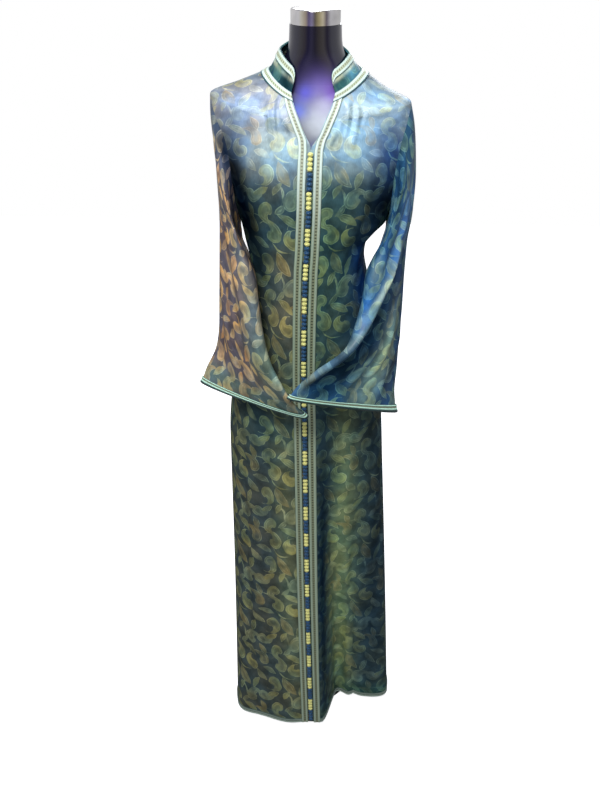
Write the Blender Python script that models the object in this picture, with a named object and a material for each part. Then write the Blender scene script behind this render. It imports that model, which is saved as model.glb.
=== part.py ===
"""A long kaftan with bell sleeves, worn by a limbless dress form on a round base.

Metres, +Z up.  The front faces -Y and the origin lies on the floor under the
middle of the neck.  Right and left in the names are the wearer's, so the left
side is at +X.  Each cut piece of the kaftan is a wall of its own, computed as
a grid of points on its outer face, and each braid and knot lies on such a
grid, moved out from it.
"""

from collections import namedtuple
from functools import lru_cache
from math import asin, cos, degrees, pi, radians, sin, sqrt

import bmesh
import bpy
from mathutils import Matrix, Vector

# Thicknesses and gaps
CLOTH = 0.0016
BRAID = 0.0018
SEAM = 0.0003

# Heights along the side of the body
HEM = 0.020
UNDERARM = 1.270
SHOULDER = 1.510
NECKLINE = 1.555
NECK_BRAID_LEVEL = 1.548
HEM_TRIM_WIDTH = 0.011

# Widths of what is sewn along the front
BRAID_WIDTH = 0.016
PLACKET_HALF = 0.007
V_TURNING = 0.001
V_BOTTOM = 1.432

# The body cloth, section by section from the hem to the neckline.  A section
# is a ring round the body: level is its height at the right side, left_z at
# the left side, front_z and back_z at the centres, the halves its reach to
# either side, front and back its depths, drift the sideways wander of the
# centre front, right_y and left_y the places of the sides, and opening half
# the gap of the V neck.
Section = namedtuple(
    "Section",
    "level left_z front_z back_z right_half left_half front back drift right_y left_y opening",
)
BODY = [
    Section(0.020, 0.020, 0.018, 0.020, 0.191, 0.194, 0.138, 0.180, 0.004, -0.046, 0.000, 0.0),
    Section(0.240, 0.240, 0.239, 0.240, 0.189, 0.183, 0.134, 0.168, -0.002, -0.030, 0.000, 0.0),
    Section(0.460, 0.460, 0.460, 0.460, 0.188, 0.171, 0.129, 0.156, -0.007, -0.016, 0.000, 0.0),
    Section(0.785, 0.785, 0.785, 0.785, 0.187, 0.152, 0.119, 0.140, -0.012, -0.006, 0.000, 0.0),
    Section(0.870, 0.870, 0.870, 0.870, 0.181, 0.147, 0.117, 0.135, -0.013, -0.003, 0.000, 0.0),
    Section(0.950, 0.950, 0.950, 0.950, 0.154, 0.142, 0.116, 0.128, -0.015, 0.000, 0.000, 0.0),
    Section(1.080, 1.080, 1.080, 1.080, 0.125, 0.122, 0.118, 0.112, -0.014, 0.000, 0.000, 0.0),
    Section(1.163, 1.163, 1.163, 1.163, 0.122, 0.107, 0.120, 0.102, -0.012, 0.000, 0.000, 0.0),
    Section(1.200, 1.200, 1.200, 1.200, 0.126, 0.101, 0.121, 0.099, -0.011, 0.000, 0.000, 0.0),
    Section(1.228, 1.228, 1.228, 1.228, 0.133, 0.105, 0.121, 0.099, -0.009, 0.000, 0.000, 0.0),
    Section(1.246, 1.246, 1.246, 1.246, 0.138, 0.119, 0.121, 0.100, -0.008, 0.000, 0.000, 0.0),
    Section(1.270, 1.270, 1.270, 1.270, 0.148, 0.143, 0.121, 0.101, -0.007, 0.000, 0.000, 0.0),
    Section(1.320, 1.319, 1.318, 1.319, 0.165, 0.162, 0.122, 0.104, -0.005, 0.000, 0.000, 0.0),
    Section(1.370, 1.368, 1.366, 1.368, 0.176, 0.173, 0.120, 0.107, -0.004, 0.000, 0.000, 0.0),
    Section(1.410, 1.406, 1.402, 1.408, 0.182, 0.179, 0.114, 0.108, -0.003, 0.000, 0.000, 0.0),
    Section(1.440, 1.433, 1.429, 1.438, 0.187, 0.182, 0.108, 0.107, -0.002, 0.000, 0.000, 0.0),
    Section(1.475, 1.465, 1.455, 1.472, 0.198, 0.184, 0.101, 0.102, 0.000, 0.000, 0.000, 0.013),
    Section(1.510, 1.497, 1.480, 1.505, 0.200, 0.181, 0.094, 0.090, 0.000, 0.000, 0.000, 0.024),
    Section(1.532, 1.523, 1.494, 1.538, 0.146, 0.132, 0.088, 0.078, 0.000, 0.000, 0.000, 0.031),
    Section(1.548, 1.546, 1.503, 1.563, 0.102, 0.100, 0.084, 0.068, 0.000, 0.000, 0.000, 0.036),
    Section(1.555, 1.554, 1.516, 1.573, 0.086, 0.085, 0.078, 0.056, 0.000, 0.000, 0.000, 0.040),
]

# Where the armhole cuts into the front and the back, in degrees of turn
ARMHOLE_FRONT = 27.0
ARMHOLE_BACK = 24.0
ARMHOLE_STEPS = 10

# Folds of the body cloth.  A fold starts, peaks and ends at turns in degrees
# from the centre front, fades in from top down to full, and sinks by depth,
# or stands out where depth is negative.
Fold = namedtuple("Fold", "side start peak end top full depth")
FOLDS = [
    Fold(1, 7.5, 19.0, 92.0, 1.000, 0.020, 0.100),
    Fold(1, 21.0, 33.0, 47.0, 0.850, 0.200, -0.014),
    Fold(1, 60.0, 74.0, 89.0, 0.850, 0.020, -0.012),
    Fold(-1, 2.0, 17.0, 38.0, 0.350, 0.020, -0.007),
    Fold(-1, 42.0, 60.0, 82.0, 0.500, 0.020, -0.008),
    Fold(-1, 98.0, 112.0, 126.0, 0.900, 0.020, 0.014),
    Fold(-1, 134.0, 148.0, 162.0, 0.950, 0.020, 0.016),
    Fold(1, 96.0, 110.0, 124.0, 0.900, 0.020, 0.015),
    Fold(1, 132.0, 147.0, 161.0, 0.950, 0.020, 0.017),
]

# Columns of the panels, in degrees of turn from the centre front
FRONT_RIGHT_TURNS = [17, 25, 34, 44, 54, 63, 72, 81, 90]
FRONT_LEFT_TURNS = [10, 12.5, 15.5, 19, 25, 33, 42, 52, 62, 72, 81, 90]
BACK_STEPS = 18

# Rows of the panels below the armhole, between rows that a seam needs
SKIRT_ROWS = [0.13, 0.24, 0.35, 0.46, 0.57, 0.68, 0.79, 0.88, 0.95, 1.015, 1.08, 1.13, 1.170]
SIDE_ROWS = [1.202, 1.228, 1.249]
YOKE_ROWS = [1.524, 1.537]

# The sleeves, ring by ring from the armhole to the cuff.  A ring is an oval
# about x (out from the middle), y and z.  half_long reaches from its front
# edge to its back edge, half_flat from its inner to its outer side.  heading
# turns the front edge towards the middle, tilt raises the outer side, and
# rise lifts the front edge, all in degrees.
Ring = namedtuple("Ring", "along x y z half_long half_flat heading tilt rise")
SLEEVE_LEFT = [
    Ring(0.00, 0.1650, 0.000, 1.383, 0.050, 0.117, 0, 81.0, 0),
    Ring(0.06, 0.1680, -0.002, 1.352, 0.052, 0.108, 3, 77.5, 0),
    Ring(0.12, 0.1665, -0.005, 1.318, 0.059, 0.093, 7, 72, 0),
    Ring(0.19, 0.1628, -0.010, 1.280, 0.067, 0.074, 12, 65, 0),
    Ring(0.27, 0.1560, -0.019, 1.240, 0.077, 0.056, 16, 53, 2),
    Ring(0.35, 0.1465, -0.030, 1.200, 0.086, 0.043, 18, 41, 4),
    Ring(0.45, 0.1430, -0.044, 1.150, 0.092, 0.033, 20, 26, 6),
    Ring(0.56, 0.1365, -0.062, 1.092, 0.098, 0.027, 25, 12, 8),
    Ring(0.68, 0.1250, -0.084, 1.037, 0.106, 0.023, 30, 4, 11),
    Ring(0.80, 0.0980, -0.107, 0.986, 0.116, 0.020, 44, 0, 14),
    Ring(0.91, 0.0750, -0.128, 0.948, 0.126, 0.017, 55, 0, 17),
    Ring(1.00, 0.0690, -0.143, 0.919, 0.136, 0.014, 59, 0, 20),
]
SLEEVE_RIGHT = [
    Ring(0.00, 0.1720, 0.000, 1.390, 0.050, 0.122, 0, 80.0, 0),
    Ring(0.06, 0.1740, 0.000, 1.356, 0.053, 0.111, 2, 79, 0),
    Ring(0.12, 0.1725, -0.003, 1.320, 0.059, 0.095, 5, 77.5, 0),
    Ring(0.19, 0.1685, -0.009, 1.280, 0.067, 0.074, 11, 71, 0),
    Ring(0.27, 0.1600, -0.020, 1.238, 0.076, 0.055, 17, 60, 0),
    Ring(0.35, 0.1540, -0.036, 1.196, 0.086, 0.041, 23, 46, 0),
    Ring(0.45, 0.1510, -0.055, 1.145, 0.094, 0.031, 26, 30, 0),
    Ring(0.56, 0.1470, -0.073, 1.085, 0.101, 0.026, 29, 13, 0),
    Ring(0.68, 0.1400, -0.090, 1.030, 0.109, 0.023, 33, 4, 0),
    Ring(0.80, 0.1300, -0.105, 0.980, 0.118, 0.020, 42, 0, -1),
    Ring(0.91, 0.1260, -0.115, 0.944, 0.127, 0.017, 53, 0, -2),
    Ring(1.00, 0.1200, -0.121, 0.916, 0.133, 0.014, 62, 0, -2),
]
SLEEVE_RINGS = 16
CAP_FADE = 0.22
CUFF_TRIM_SHARE = 0.036

# The standing collar.  Its top leans towards an oval above the neckline, and
# its two front ends are rounded off.
Standing = namedtuple("Standing", "height top_half top_z")
COLLAR_RIGHT = Standing(0.042, 0.060, 1.600)
COLLAR_LEFT = Standing(0.037, 0.050, 1.596)
COLLAR_TOP_FRONT = 0.056
COLLAR_TOP_BACK = 0.050
COLLAR_FRONT_DROP = 0.034
COLLAR_BACK_RISE = 0.014
COLLAR_CORNER = 0.016
COLLAR_CORNER_CUT = 0.45
COLLAR_ROWS = [0.0, 0.31, 0.62, 0.81, 1.0]
COLLAR_BRAID_ROW = 2

# Silk knots down the front, in groups of four, yellow and blue in turn
KNOT_PITCH = 0.00875
KNOTS_IN_GROUP = 4
KNOT_RADIUS = 0.0040
KNOT_WAIST = 0.0016
KNOT_SIDES = 6
GROUP_PAIRS = 20
FIRST_GROUP_Z = 1.409

# The dress form: its own figure below the bust, and above it the body
# cloth's figure less ease.
Figure = namedtuple("Figure", "z half front back")
TORSO = [
    Figure(0.842, 0.045, 0.030, 0.068),
    Figure(0.850, 0.080, 0.062, 0.086),
    Figure(0.875, 0.112, 0.086, 0.104),
    Figure(0.940, 0.126, 0.095, 0.120),
    Figure(1.020, 0.120, 0.094, 0.112),
    Figure(1.090, 0.104, 0.091, 0.096),
    Figure(1.150, 0.095, 0.089, 0.086),
    Figure(1.205, 0.094, 0.092, 0.084),
]
Ease = namedtuple("Ease", "level side depth drop")
SHOULDER_EASE = [
    Ease(1.250, 0.022, 0.0180, 0.0),
    Ease(1.300, 0.022, 0.0080, 0.0),
    Ease(1.350, 0.018, 0.0055, 0.0),
    Ease(1.400, 0.013, 0.0045, 0.001),
    Ease(1.450, 0.008, 0.0040, 0.002),
    Ease(1.485, 0.0045, 0.0030, 0.0024),
    Ease(1.510, 0.0030, 0.0024, 0.0022),
    Ease(1.524, 0.0020, 0.0022, 0.0022),
    Ease(1.537, 0.0018, 0.0022, 0.0022),
    Ease(1.548, 0.0018, 0.0022, 0.0022),
    Ease(1.555, 0.0100, 0.0110, 0.0050),
]
NECK = [
    Figure(1.574, 0.0600, 0.0540, 0.0430),
    Figure(1.590, 0.0520, 0.0500, 0.0440),
    Figure(1.608, 0.0490, 0.0490, 0.0470),
    Figure(1.634, 0.0480, 0.0480, 0.0480),
]
TORSO_COLUMNS = 24
NECK_CAP_RADIUS = 0.0465
NECK_CAP_Z = 1.6343
NECK_CAP_HEIGHT = 0.026
STAND_X = -0.012
STAND_Y = 0.048
POLE_RADIUS = 0.0125
BASE_RADIUS = 0.105
BASE_HEIGHT = 0.010
ROUND_SIDES = 32

# Colour, roughness and metallic value of each material
FINISHES = {
    "satin_front": ((0.090, 0.130, 0.120), 0.38, 0.0),
    "satin_back": ((0.080, 0.110, 0.120), 0.38, 0.0),
    "satin_sleeve": ((0.110, 0.110, 0.150), 0.38, 0.0),
    "braid": ((0.560, 0.620, 0.470), 0.55, 0.0),
    "knot_yellow": ((0.780, 0.720, 0.220), 0.50, 0.0),
    "knot_blue": ((0.010, 0.070, 0.140), 0.50, 0.0),
    "form_gloss": ((0.012, 0.012, 0.030), 0.12, 0.0),
    "chrome": ((0.620, 0.620, 0.630), 0.15, 1.0),
    "steel": ((0.300, 0.300, 0.310), 0.35, 1.0),
}


def smoothstep(value):
    """0 below 0, 1 above 1 and an even curve between."""
    inside = min(max(value, 0.0), 1.0)
    return inside * inside * (3.0 - 2.0 * inside)


def column_value(table, key, column, at):
    """A monotone cubic through one column of a table, read at a key value."""
    keys = [getattr(row, key) for row in table]
    values = [getattr(row, column) for row in table]
    last = len(keys) - 1
    at = min(max(at, keys[0]), keys[last])
    steps = [(values[i + 1] - values[i]) / (keys[i + 1] - keys[i]) for i in range(last)]
    span = max(i for i in range(last) if keys[i] <= at)

    def slope(i):
        if i == 0 or i == last:
            return steps[min(i, last - 1)]
        before = steps[i - 1]
        after = steps[i]
        if before * after <= 0.0:
            return 0.0
        return 2.0 * before * after / (before + after)

    width = keys[span + 1] - keys[span]
    t = (at - keys[span]) / width
    t2 = t * t
    t3 = t2 * t
    return (
        (2 * t3 - 3 * t2 + 1) * values[span]
        + (t3 - 2 * t2 + t) * width * slope(span)
        + (3 * t2 - 2 * t3) * values[span + 1]
        + (t3 - t2) * width * slope(span + 1)
    )


@lru_cache(maxsize=None)
def section(level):
    """The body cloth's section at any level."""
    values = [column_value(BODY, "level", name, level) for name in Section._fields[1:]]
    return Section(level, *values)


def fold_depth(side, turn, z):
    """How far the folds sink the cloth at a turn and a height."""
    depth = 0.0
    for fold in FOLDS:
        if fold.side != side or not fold.start < turn < fold.end:
            continue
        if turn < fold.peak:
            share = (turn - fold.start) / (fold.peak - fold.start)
        else:
            share = (fold.end - turn) / (fold.end - fold.peak)
        depth += fold.depth * smoothstep(share) * smoothstep((fold.top - z) / (fold.top - fold.full))
    return depth


def body_point(side, turn, level, folded=True):
    """A point of the body cloth's outer face.

    side is 1 for the left and -1 for the right.  turn runs in degrees from
    the centre front, over 90 at the side seam, to 180 at the centre back.
    """
    row = section(level)
    ahead = cos(radians(turn))
    across = sin(radians(turn))
    half = row.left_half if side > 0 else row.right_half
    side_y = row.left_y if side > 0 else row.right_y
    side_z = row.left_z if side > 0 else level
    if ahead > 0.0:
        depth = row.front
        lean = row.front_z - side_z
        drift = row.drift * ahead * ahead
    else:
        depth = row.back
        lean = row.back_z - side_z
        drift = 0.0
    x = drift + side * half * across
    y = side_y * across * across - depth * ahead
    z = side_z + lean * ahead * ahead
    if folded:
        inward = Vector((-side * across ** 3, ahead))
        inward.normalize()
        sunk = fold_depth(side, turn, z)
        x += inward.x * sunk
        y += inward.y * sunk
    return Vector((x, y, z))


def turn_at(side, level, distance):
    """The turn at which the front lies a distance from its centre line."""
    half = section(level).left_half if side > 0 else section(level).right_half
    return degrees(asin(min(distance / half, 1.0)))


def armhole_level(angle):
    """The level of the armhole edge, angle running from -90 below to 90 on top."""
    return UNDERARM + (SHOULDER - UNDERARM) * (1.0 + sin(radians(angle))) / 2.0


def armhole_cut(level):
    """How much of the armhole's full width is cut away at a level, 0 to 1."""
    if not UNDERARM < level < SHOULDER:
        return 0.0
    height = 2.0 * (level - UNDERARM) / (SHOULDER - UNDERARM) - 1.0
    return sqrt(max(1.0 - height * height, 0.0))


def armhole_point(side, angle):
    """A point of the armhole edge: 0 in front, 90 on top, 180 behind, 270 below."""
    level = armhole_level(angle)
    width = cos(radians(angle))
    if width >= 0.0:
        turn = 90.0 - ARMHOLE_FRONT * width
    else:
        turn = 90.0 - ARMHOLE_BACK * width
    return body_point(side, turn, level)


def ring_axes(row, side):
    """The long and the flat axis of a sleeve's ring."""
    heading = radians(row.heading)
    rise = radians(row.rise)
    tilt = radians(row.tilt)
    long_axis = Vector((-side * cos(rise) * sin(heading), -cos(rise) * cos(heading), sin(rise)))
    outward = Vector((side * cos(heading), -sin(heading), 0.0))
    upward = long_axis.cross(outward) * side
    flat_axis = outward * cos(tilt) + upward * sin(tilt)
    return long_axis, flat_axis


def sleeve_row(table, along):
    """A sleeve table's ring at any share of its length."""
    values = [column_value(table, "along", name, along) for name in Ring._fields[1:]]
    return Ring(along, *values)


def sleeve_point(table, side, along, angle):
    """A point of a sleeve's outer face."""

    def oval(row):
        long_axis, flat_axis = ring_axes(row, side)
        centre = Vector((side * row.x, row.y, row.z))
        turn = radians(angle)
        return centre + long_axis * row.half_long * cos(turn) + flat_axis * row.half_flat * sin(turn)

    point = oval(sleeve_row(table, along))
    if along < CAP_FADE:
        error = armhole_point(side, angle) - oval(table[0])
        point += error * (1.0 - smoothstep(along / CAP_FADE))
    return point


class Cloth:
    """A grid of points on an outer face, and the way out at each point.

    points holds rows of vectors.  A closed cloth's rows are rings.
    """

    def __init__(self, points, outward, closed=False):
        self.points = points
        self.closed = closed
        self.normals = self.find_normals(outward)

    def find_normals(self, outward):
        rows = len(self.points)
        columns = len(self.points[0])
        normals = []
        for i in range(rows):
            line = []
            for j in range(columns):
                below = self.points[max(i - 1, 0)][j]
                above = self.points[min(i + 1, rows - 1)][j]
                if self.closed:
                    before = self.points[i][j - 1]
                    after = self.points[i][(j + 1) % columns]
                else:
                    before = self.points[i][max(j - 1, 0)]
                    after = self.points[i][min(j + 1, columns - 1)]
                line.append((after - before).cross(above - below).normalized() * outward)
            normals.append(line)
        return normals

    def part(self, first_row, last_row, first_column, last_column):
        """A rectangle of the grid, both ends included, with the same normals."""
        piece = Cloth.__new__(Cloth)
        piece.closed = False
        piece.points = [
            [p.copy() for p in row[first_column : last_column + 1]]
            for row in self.points[first_row : last_row + 1]
        ]
        piece.normals = [
            row[first_column : last_column + 1] for row in self.normals[first_row : last_row + 1]
        ]
        return piece

    def pull_in(self, top=False, bottom=False, first=False, last=False, distance=SEAM / 2):
        """Draws edges back along the cloth, which leaves the gap of a seam."""
        new = [[p.copy() for p in row] for row in self.points]
        rows = len(new)
        columns = len(new[0])
        for i in range(rows):
            for j in range(columns):
                aims = []
                if bottom and i == 0:
                    aims.append(self.points[1][j])
                if top and i == rows - 1:
                    aims.append(self.points[rows - 2][j])
                if first and j == 0:
                    aims.append(self.points[i][1])
                if last and j == columns - 1:
                    aims.append(self.points[i][columns - 2])
                for aim in aims:
                    new[i][j] += (aim - self.points[i][j]).normalized() * distance
        self.points = new
        return self


def join_columns(*cloths):
    """One cloth from several that meet side by side, their shared columns once."""
    joined = Cloth.__new__(Cloth)
    joined.closed = False
    joined.points = [list(row) for row in cloths[0].points]
    joined.normals = [list(row) for row in cloths[0].normals]
    for cloth in cloths[1:]:
        for i, row in enumerate(cloth.points):
            joined.points[i] += row[1:]
            joined.normals[i] += cloth.normals[i][1:]
    return joined


def flipped(cloth):
    """The same cloth with its columns in the other order."""
    back = Cloth.__new__(Cloth)
    back.closed = cloth.closed
    back.points = [row[::-1] for row in cloth.points]
    back.normals = [row[::-1] for row in cloth.normals]
    return back


def share_normals(pairs):
    """Gives two cloths the same way out where their edges are sewn together.

    pairs holds tuples of cloth, row, column, other cloth, row, column.
    """
    for cloth, i, j, other, k, m in pairs:
        middle = (cloth.normals[i][j] + other.normals[k][m]).normalized()
        cloth.normals[i][j] = middle
        other.normals[k][m] = middle.copy()


@lru_cache(maxsize=None)
def finish(name):
    """A material from the table of finishes."""
    colour, roughness, metallic = FINISHES[name]
    material = bpy.data.materials.new(name)
    material.use_nodes = True
    shader = material.node_tree.nodes["Principled BSDF"]
    shader.inputs["Base Color"].default_value = (*colour, 1.0)
    shader.inputs["Roughness"].default_value = roughness
    shader.inputs["Metallic"].default_value = metallic
    return material


def add_object(name, mesh_edit, finish_name, location=(0.0, 0.0, 0.0)):
    """A mesh object from a filled bmesh, smooth but for its sharp edges."""
    mesh = bpy.data.meshes.new(name)
    bmesh.ops.recalc_face_normals(mesh_edit, faces=mesh_edit.faces)
    mesh_edit.to_mesh(mesh)
    mesh_edit.free()
    mesh.shade_smooth()
    mesh.set_sharp_from_angle(angle=radians(40.0))
    mesh.materials.append(finish(finish_name))
    piece = bpy.data.objects.new(name, mesh)
    piece.location = location
    bpy.context.scene.collection.objects.link(piece)
    return piece


def wall(name, cloth, outer, inner, finish_name):
    """A closed wall between two distances from a cloth's grid of points."""
    edit = bmesh.new()
    faces = []
    for distance in (outer, inner):
        faces.append(
            [
                [edit.verts.new(p + n * distance) for p, n in zip(points, normals)]
                for points, normals in zip(cloth.points, cloth.normals)
            ]
        )
    outside, inside = faces
    rows = len(outside)
    columns = len(outside[0])
    spans = columns if cloth.closed else columns - 1
    for i in range(rows - 1):
        for j in range(spans):
            k = (j + 1) % columns
            edit.faces.new((outside[i][j], outside[i][k], outside[i + 1][k], outside[i + 1][j]))
            edit.faces.new((inside[i][j], inside[i + 1][j], inside[i + 1][k], inside[i][k]))
    for j in range(spans):
        k = (j + 1) % columns
        edit.faces.new((outside[0][k], outside[0][j], inside[0][j], inside[0][k]))
        edit.faces.new((outside[-1][j], outside[-1][k], inside[-1][k], inside[-1][j]))
    if not cloth.closed:
        for i in range(rows - 1):
            edit.faces.new((outside[i][0], outside[i + 1][0], inside[i + 1][0], inside[i][0]))
            edit.faces.new((outside[i + 1][-1], outside[i][-1], inside[i][-1], inside[i + 1][-1]))
    return add_object(name, edit, finish_name)


def loft(name, rings, finish_name, location=(0.0, 0.0, 0.0)):
    """A closed solid through rings of points, with flat caps."""
    edit = bmesh.new()
    lines = [[edit.verts.new(point) for point in ring] for ring in rings]
    count = len(lines[0])
    for low, high in zip(lines, lines[1:]):
        for j in range(count):
            k = (j + 1) % count
            edit.faces.new((low[j], low[k], high[k], high[j]))
    edit.faces.new(lines[0][::-1])
    edit.faces.new(lines[-1])
    return add_object(name, edit, finish_name, location)


def panel_levels():
    """The levels of the panels' rows, from the hem to the neckline."""
    armhole = [
        armhole_level(-90.0 + 180.0 * step / ARMHOLE_STEPS) for step in range(ARMHOLE_STEPS + 1)
    ]
    hem = [HEM, HEM + HEM_TRIM_WIDTH]
    return hem + SKIRT_ROWS + SIDE_ROWS + armhole + YOKE_ROWS + [NECK_BRAID_LEVEL, NECKLINE]


def front_cloth(side, turns, levels):
    """A front panel, its columns from the centre front to the side."""
    rows = []
    for level in levels:
        row = section(level)
        side_turn = 90.0 - ARMHOLE_FRONT * armhole_cut(level)
        v_share = smoothstep((row.front_z - V_BOTTOM) / 0.02)
        lead = PLACKET_HALF + (V_TURNING - PLACKET_HALF) * v_share
        edge = row.opening
        near = [turn_at(side, level, edge + d) for d in (0.0, lead, lead + BRAID_WIDTH)]
        share = [(t - turns[0]) / (turns[-1] - turns[0]) for t in turns]
        start = max(near[-1] + 2.0, turns[0])
        rest = [start + (side_turn - start) * s for s in share]
        rows.append([body_point(side, turn, level) for turn in near + rest])
    return Cloth(rows, side)


def back_cloth(levels):
    """The back panel, its columns from the right side seam to the left one."""
    rows = []
    for level in levels:
        start = 90.0 + ARMHOLE_BACK * armhole_cut(level)
        span = 180.0 - start
        line = []
        for step in range(BACK_STEPS + 1):
            place = 2.0 * step / BACK_STEPS - 1.0
            side = 1 if place > 0.0 else -1
            line.append(body_point(side, 180.0 - span * abs(place), level))
        rows.append(line)
    return Cloth(rows, -1)


def sleeve_cloth(table, side):
    """A sleeve as a closed tube of rings from the armhole to the cuff."""
    count = 2 * ARMHOLE_STEPS
    angles = [-90.0 + 360.0 * j / count for j in range(count)]
    trim = 1.0 - CUFF_TRIM_SHARE
    shares = [trim * i / (SLEEVE_RINGS - 1) for i in range(SLEEVE_RINGS)] + [1.0]
    rows = [[sleeve_point(table, side, along, angle) for angle in angles] for along in shares]
    return Cloth(rows, -side, closed=True)


def make_panels():
    """The fronts, the back and the sleeves as grids, sewn to each other."""
    levels = panel_levels()
    right = front_cloth(-1, FRONT_RIGHT_TURNS, levels)
    left = front_cloth(1, FRONT_LEFT_TURNS, levels)
    back = back_cloth(levels)
    sleeve_right = sleeve_cloth(SLEEVE_RIGHT, -1)
    sleeve_left = sleeve_cloth(SLEEVE_LEFT, 1)
    low = len(SKIRT_ROWS) + len(SIDE_ROWS) + 2
    high = low + ARMHOLE_STEPS
    pairs = []
    for i in range(len(levels)):
        if low < i < high:
            continue
        pairs.append((right, i, -1, back, i, 0))
        pairs.append((left, i, -1, back, i, -1))
    share_normals(pairs)
    pairs = []
    for step in range(ARMHOLE_STEPS + 1):
        mirror = -step % (2 * ARMHOLE_STEPS)
        for front, sleeve, back_column in ((right, sleeve_right, 0), (left, sleeve_left, -1)):
            pairs.append((front, low + step, -1, sleeve, 0, step))
            if 0 < step < ARMHOLE_STEPS:
                pairs.append((back, low + step, back_column, sleeve, 0, mirror))
    share_normals(pairs)
    for step in range(ARMHOLE_STEPS):
        for front, sleeve in ((right, sleeve_right), (left, sleeve_left)):
            below = cos(pi * step / ARMHOLE_STEPS)
            if below > 0.0:
                for j in (step, -step % (2 * ARMHOLE_STEPS)):
                    sleeve.points[0][j].x += (SEAM if front is left else -SEAM) * below
    for step in (low, high):
        for front, back_column in ((right, 0), (left, -1)):
            back.normals[step][back_column] = front.normals[step][-1].copy()
    return right, left, back, sleeve_right, sleeve_left


def build_collar(neck_points, neck_normals):
    """The standing collar on the neckline, and the braid along its edge."""
    count = len(neck_points)
    lengths = [0.0]
    for a, b in zip(neck_points, neck_points[1:]):
        lengths.append(lengths[-1] + (b - a).length)
    total = lengths[-1]
    neck = section(NECKLINE)
    top = []
    for point in neck_points:
        to_left = smoothstep(0.5 + point.x / (neck.left_half + neck.right_half))
        height, top_half, top_z = [
            a + (b - a) * to_left for a, b in zip(COLLAR_RIGHT, COLLAR_LEFT)
        ]
        across = point.x / (neck.left_half if point.x > 0.0 else neck.right_half)
        if point.y < 0.0:
            aim_y = point.y / neck.front * COLLAR_TOP_FRONT
            lift = -COLLAR_FRONT_DROP
        else:
            aim_y = point.y / neck.back * COLLAR_TOP_BACK
            lift = COLLAR_BACK_RISE
        aim_z = top_z + lift * (1.0 - min(abs(across), 1.0) ** 2)
        aim = Vector((across * top_half, aim_y, aim_z))
        top.append(point + (aim - point).normalized() * height)
    rows = []
    for share in COLLAR_ROWS:
        line = []
        for j in range(count):
            from_end = min(lengths[j], total - lengths[j])
            corner = 1.0 - min(from_end / COLLAR_CORNER, 1.0)
            height = 1.0 - COLLAR_CORNER_CUT * (1.0 - sqrt(1.0 - corner * corner))
            line.append(neck_points[j].lerp(top[j], share * height))
        rows.append(line)
    collar = Cloth(rows, -1)
    collar.normals[0] = [n.copy() for n in neck_normals]
    return collar


def build_garment():
    """All cut pieces of the kaftan and the braids sewn on them."""
    right, left, back, sleeve_right, sleeve_left = make_panels()
    last = len(right.points) - 1

    front_count = len(right.points[0])
    back_count = len(back.points[0])
    left_count = len(left.points[0])
    around = join_columns(
        right.part(last - 1, last, 0, front_count - 1),
        back.part(last - 1, last, 0, back_count - 1),
        flipped(left.part(last - 1, last, 0, left_count - 1)),
    )
    collar = build_collar(around.points[-1], around.normals[-1])
    share_normals([(around, 1, j, collar, 0, j) for j in range(len(around.points[0]))])
    edge_normals = around.normals[1]
    for j in range(front_count):
        right.normals[last][j] = edge_normals[j].copy()
    for j in range(back_count):
        back.normals[last][j] = edge_normals[front_count - 1 + j].copy()
    for j in range(left_count):
        left.normals[last][left_count - 1 - j] = edge_normals[front_count + back_count - 2 + j].copy()

    for name, cloth in (("braid_front_right", right), ("braid_front_left", left)):
        band = cloth.part(0, last - 1, 1, 2).pull_in(top=True, distance=SEAM)
        wall(name, band, SEAM + BRAID, SEAM, "braid")
    hem = join_columns(
        right.part(0, 1, 2, front_count - 1),
        back.part(0, 1, 0, back_count - 1),
        flipped(left.part(0, 1, 2, left_count - 1)),
    )
    wall("braid_hem", hem.pull_in(first=True, last=True, distance=SEAM), SEAM + BRAID, SEAM, "braid")
    wall("braid_neckline", around.pull_in(top=True), SEAM + BRAID, SEAM, "braid")

    edge = collar.part(COLLAR_BRAID_ROW, len(COLLAR_ROWS) - 1, 0, len(collar.points[0]) - 1)
    wall("braid_collar", edge, SEAM + BRAID, SEAM, "braid")
    wall("collar", collar.pull_in(bottom=True), 0.0, -CLOTH, "satin_front")

    wall("front_right", right.pull_in(top=True, first=True, last=True), 0.0, -CLOTH, "satin_front")
    wall("front_left", left.pull_in(top=True, first=True, last=True), 0.0, -CLOTH, "satin_front")
    wall("back", back.pull_in(top=True, first=True, last=True), 0.0, -CLOTH, "satin_back")

    for name, sleeve in (("right", sleeve_right), ("left", sleeve_left)):
        rings = len(sleeve.points)
        trim = sleeve.part(rings - 2, rings - 1, 0, len(sleeve.points[0]) - 1)
        trim.closed = True
        wall("braid_cuff_" + name, trim, 2 * SEAM + BRAID, 2 * SEAM, "braid")
        wall("sleeve_" + name, sleeve.pull_in(bottom=True), 0.0, -CLOTH, "satin_sleeve")


def group_profile():
    """Height and radius down the turned outline of one group of knots."""
    length = KNOTS_IN_GROUP * KNOT_PITCH - SEAM
    bottom = -length / 2.0
    outline = [(bottom, KNOT_WAIST)]
    for knot in range(KNOTS_IN_GROUP):
        low = bottom + length * knot / KNOTS_IN_GROUP
        high = bottom + length * (knot + 1) / KNOTS_IN_GROUP
        outline.append(((low + high) / 2.0, KNOT_RADIUS))
        outline.append((high, KNOT_WAIST))
    return outline


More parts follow.
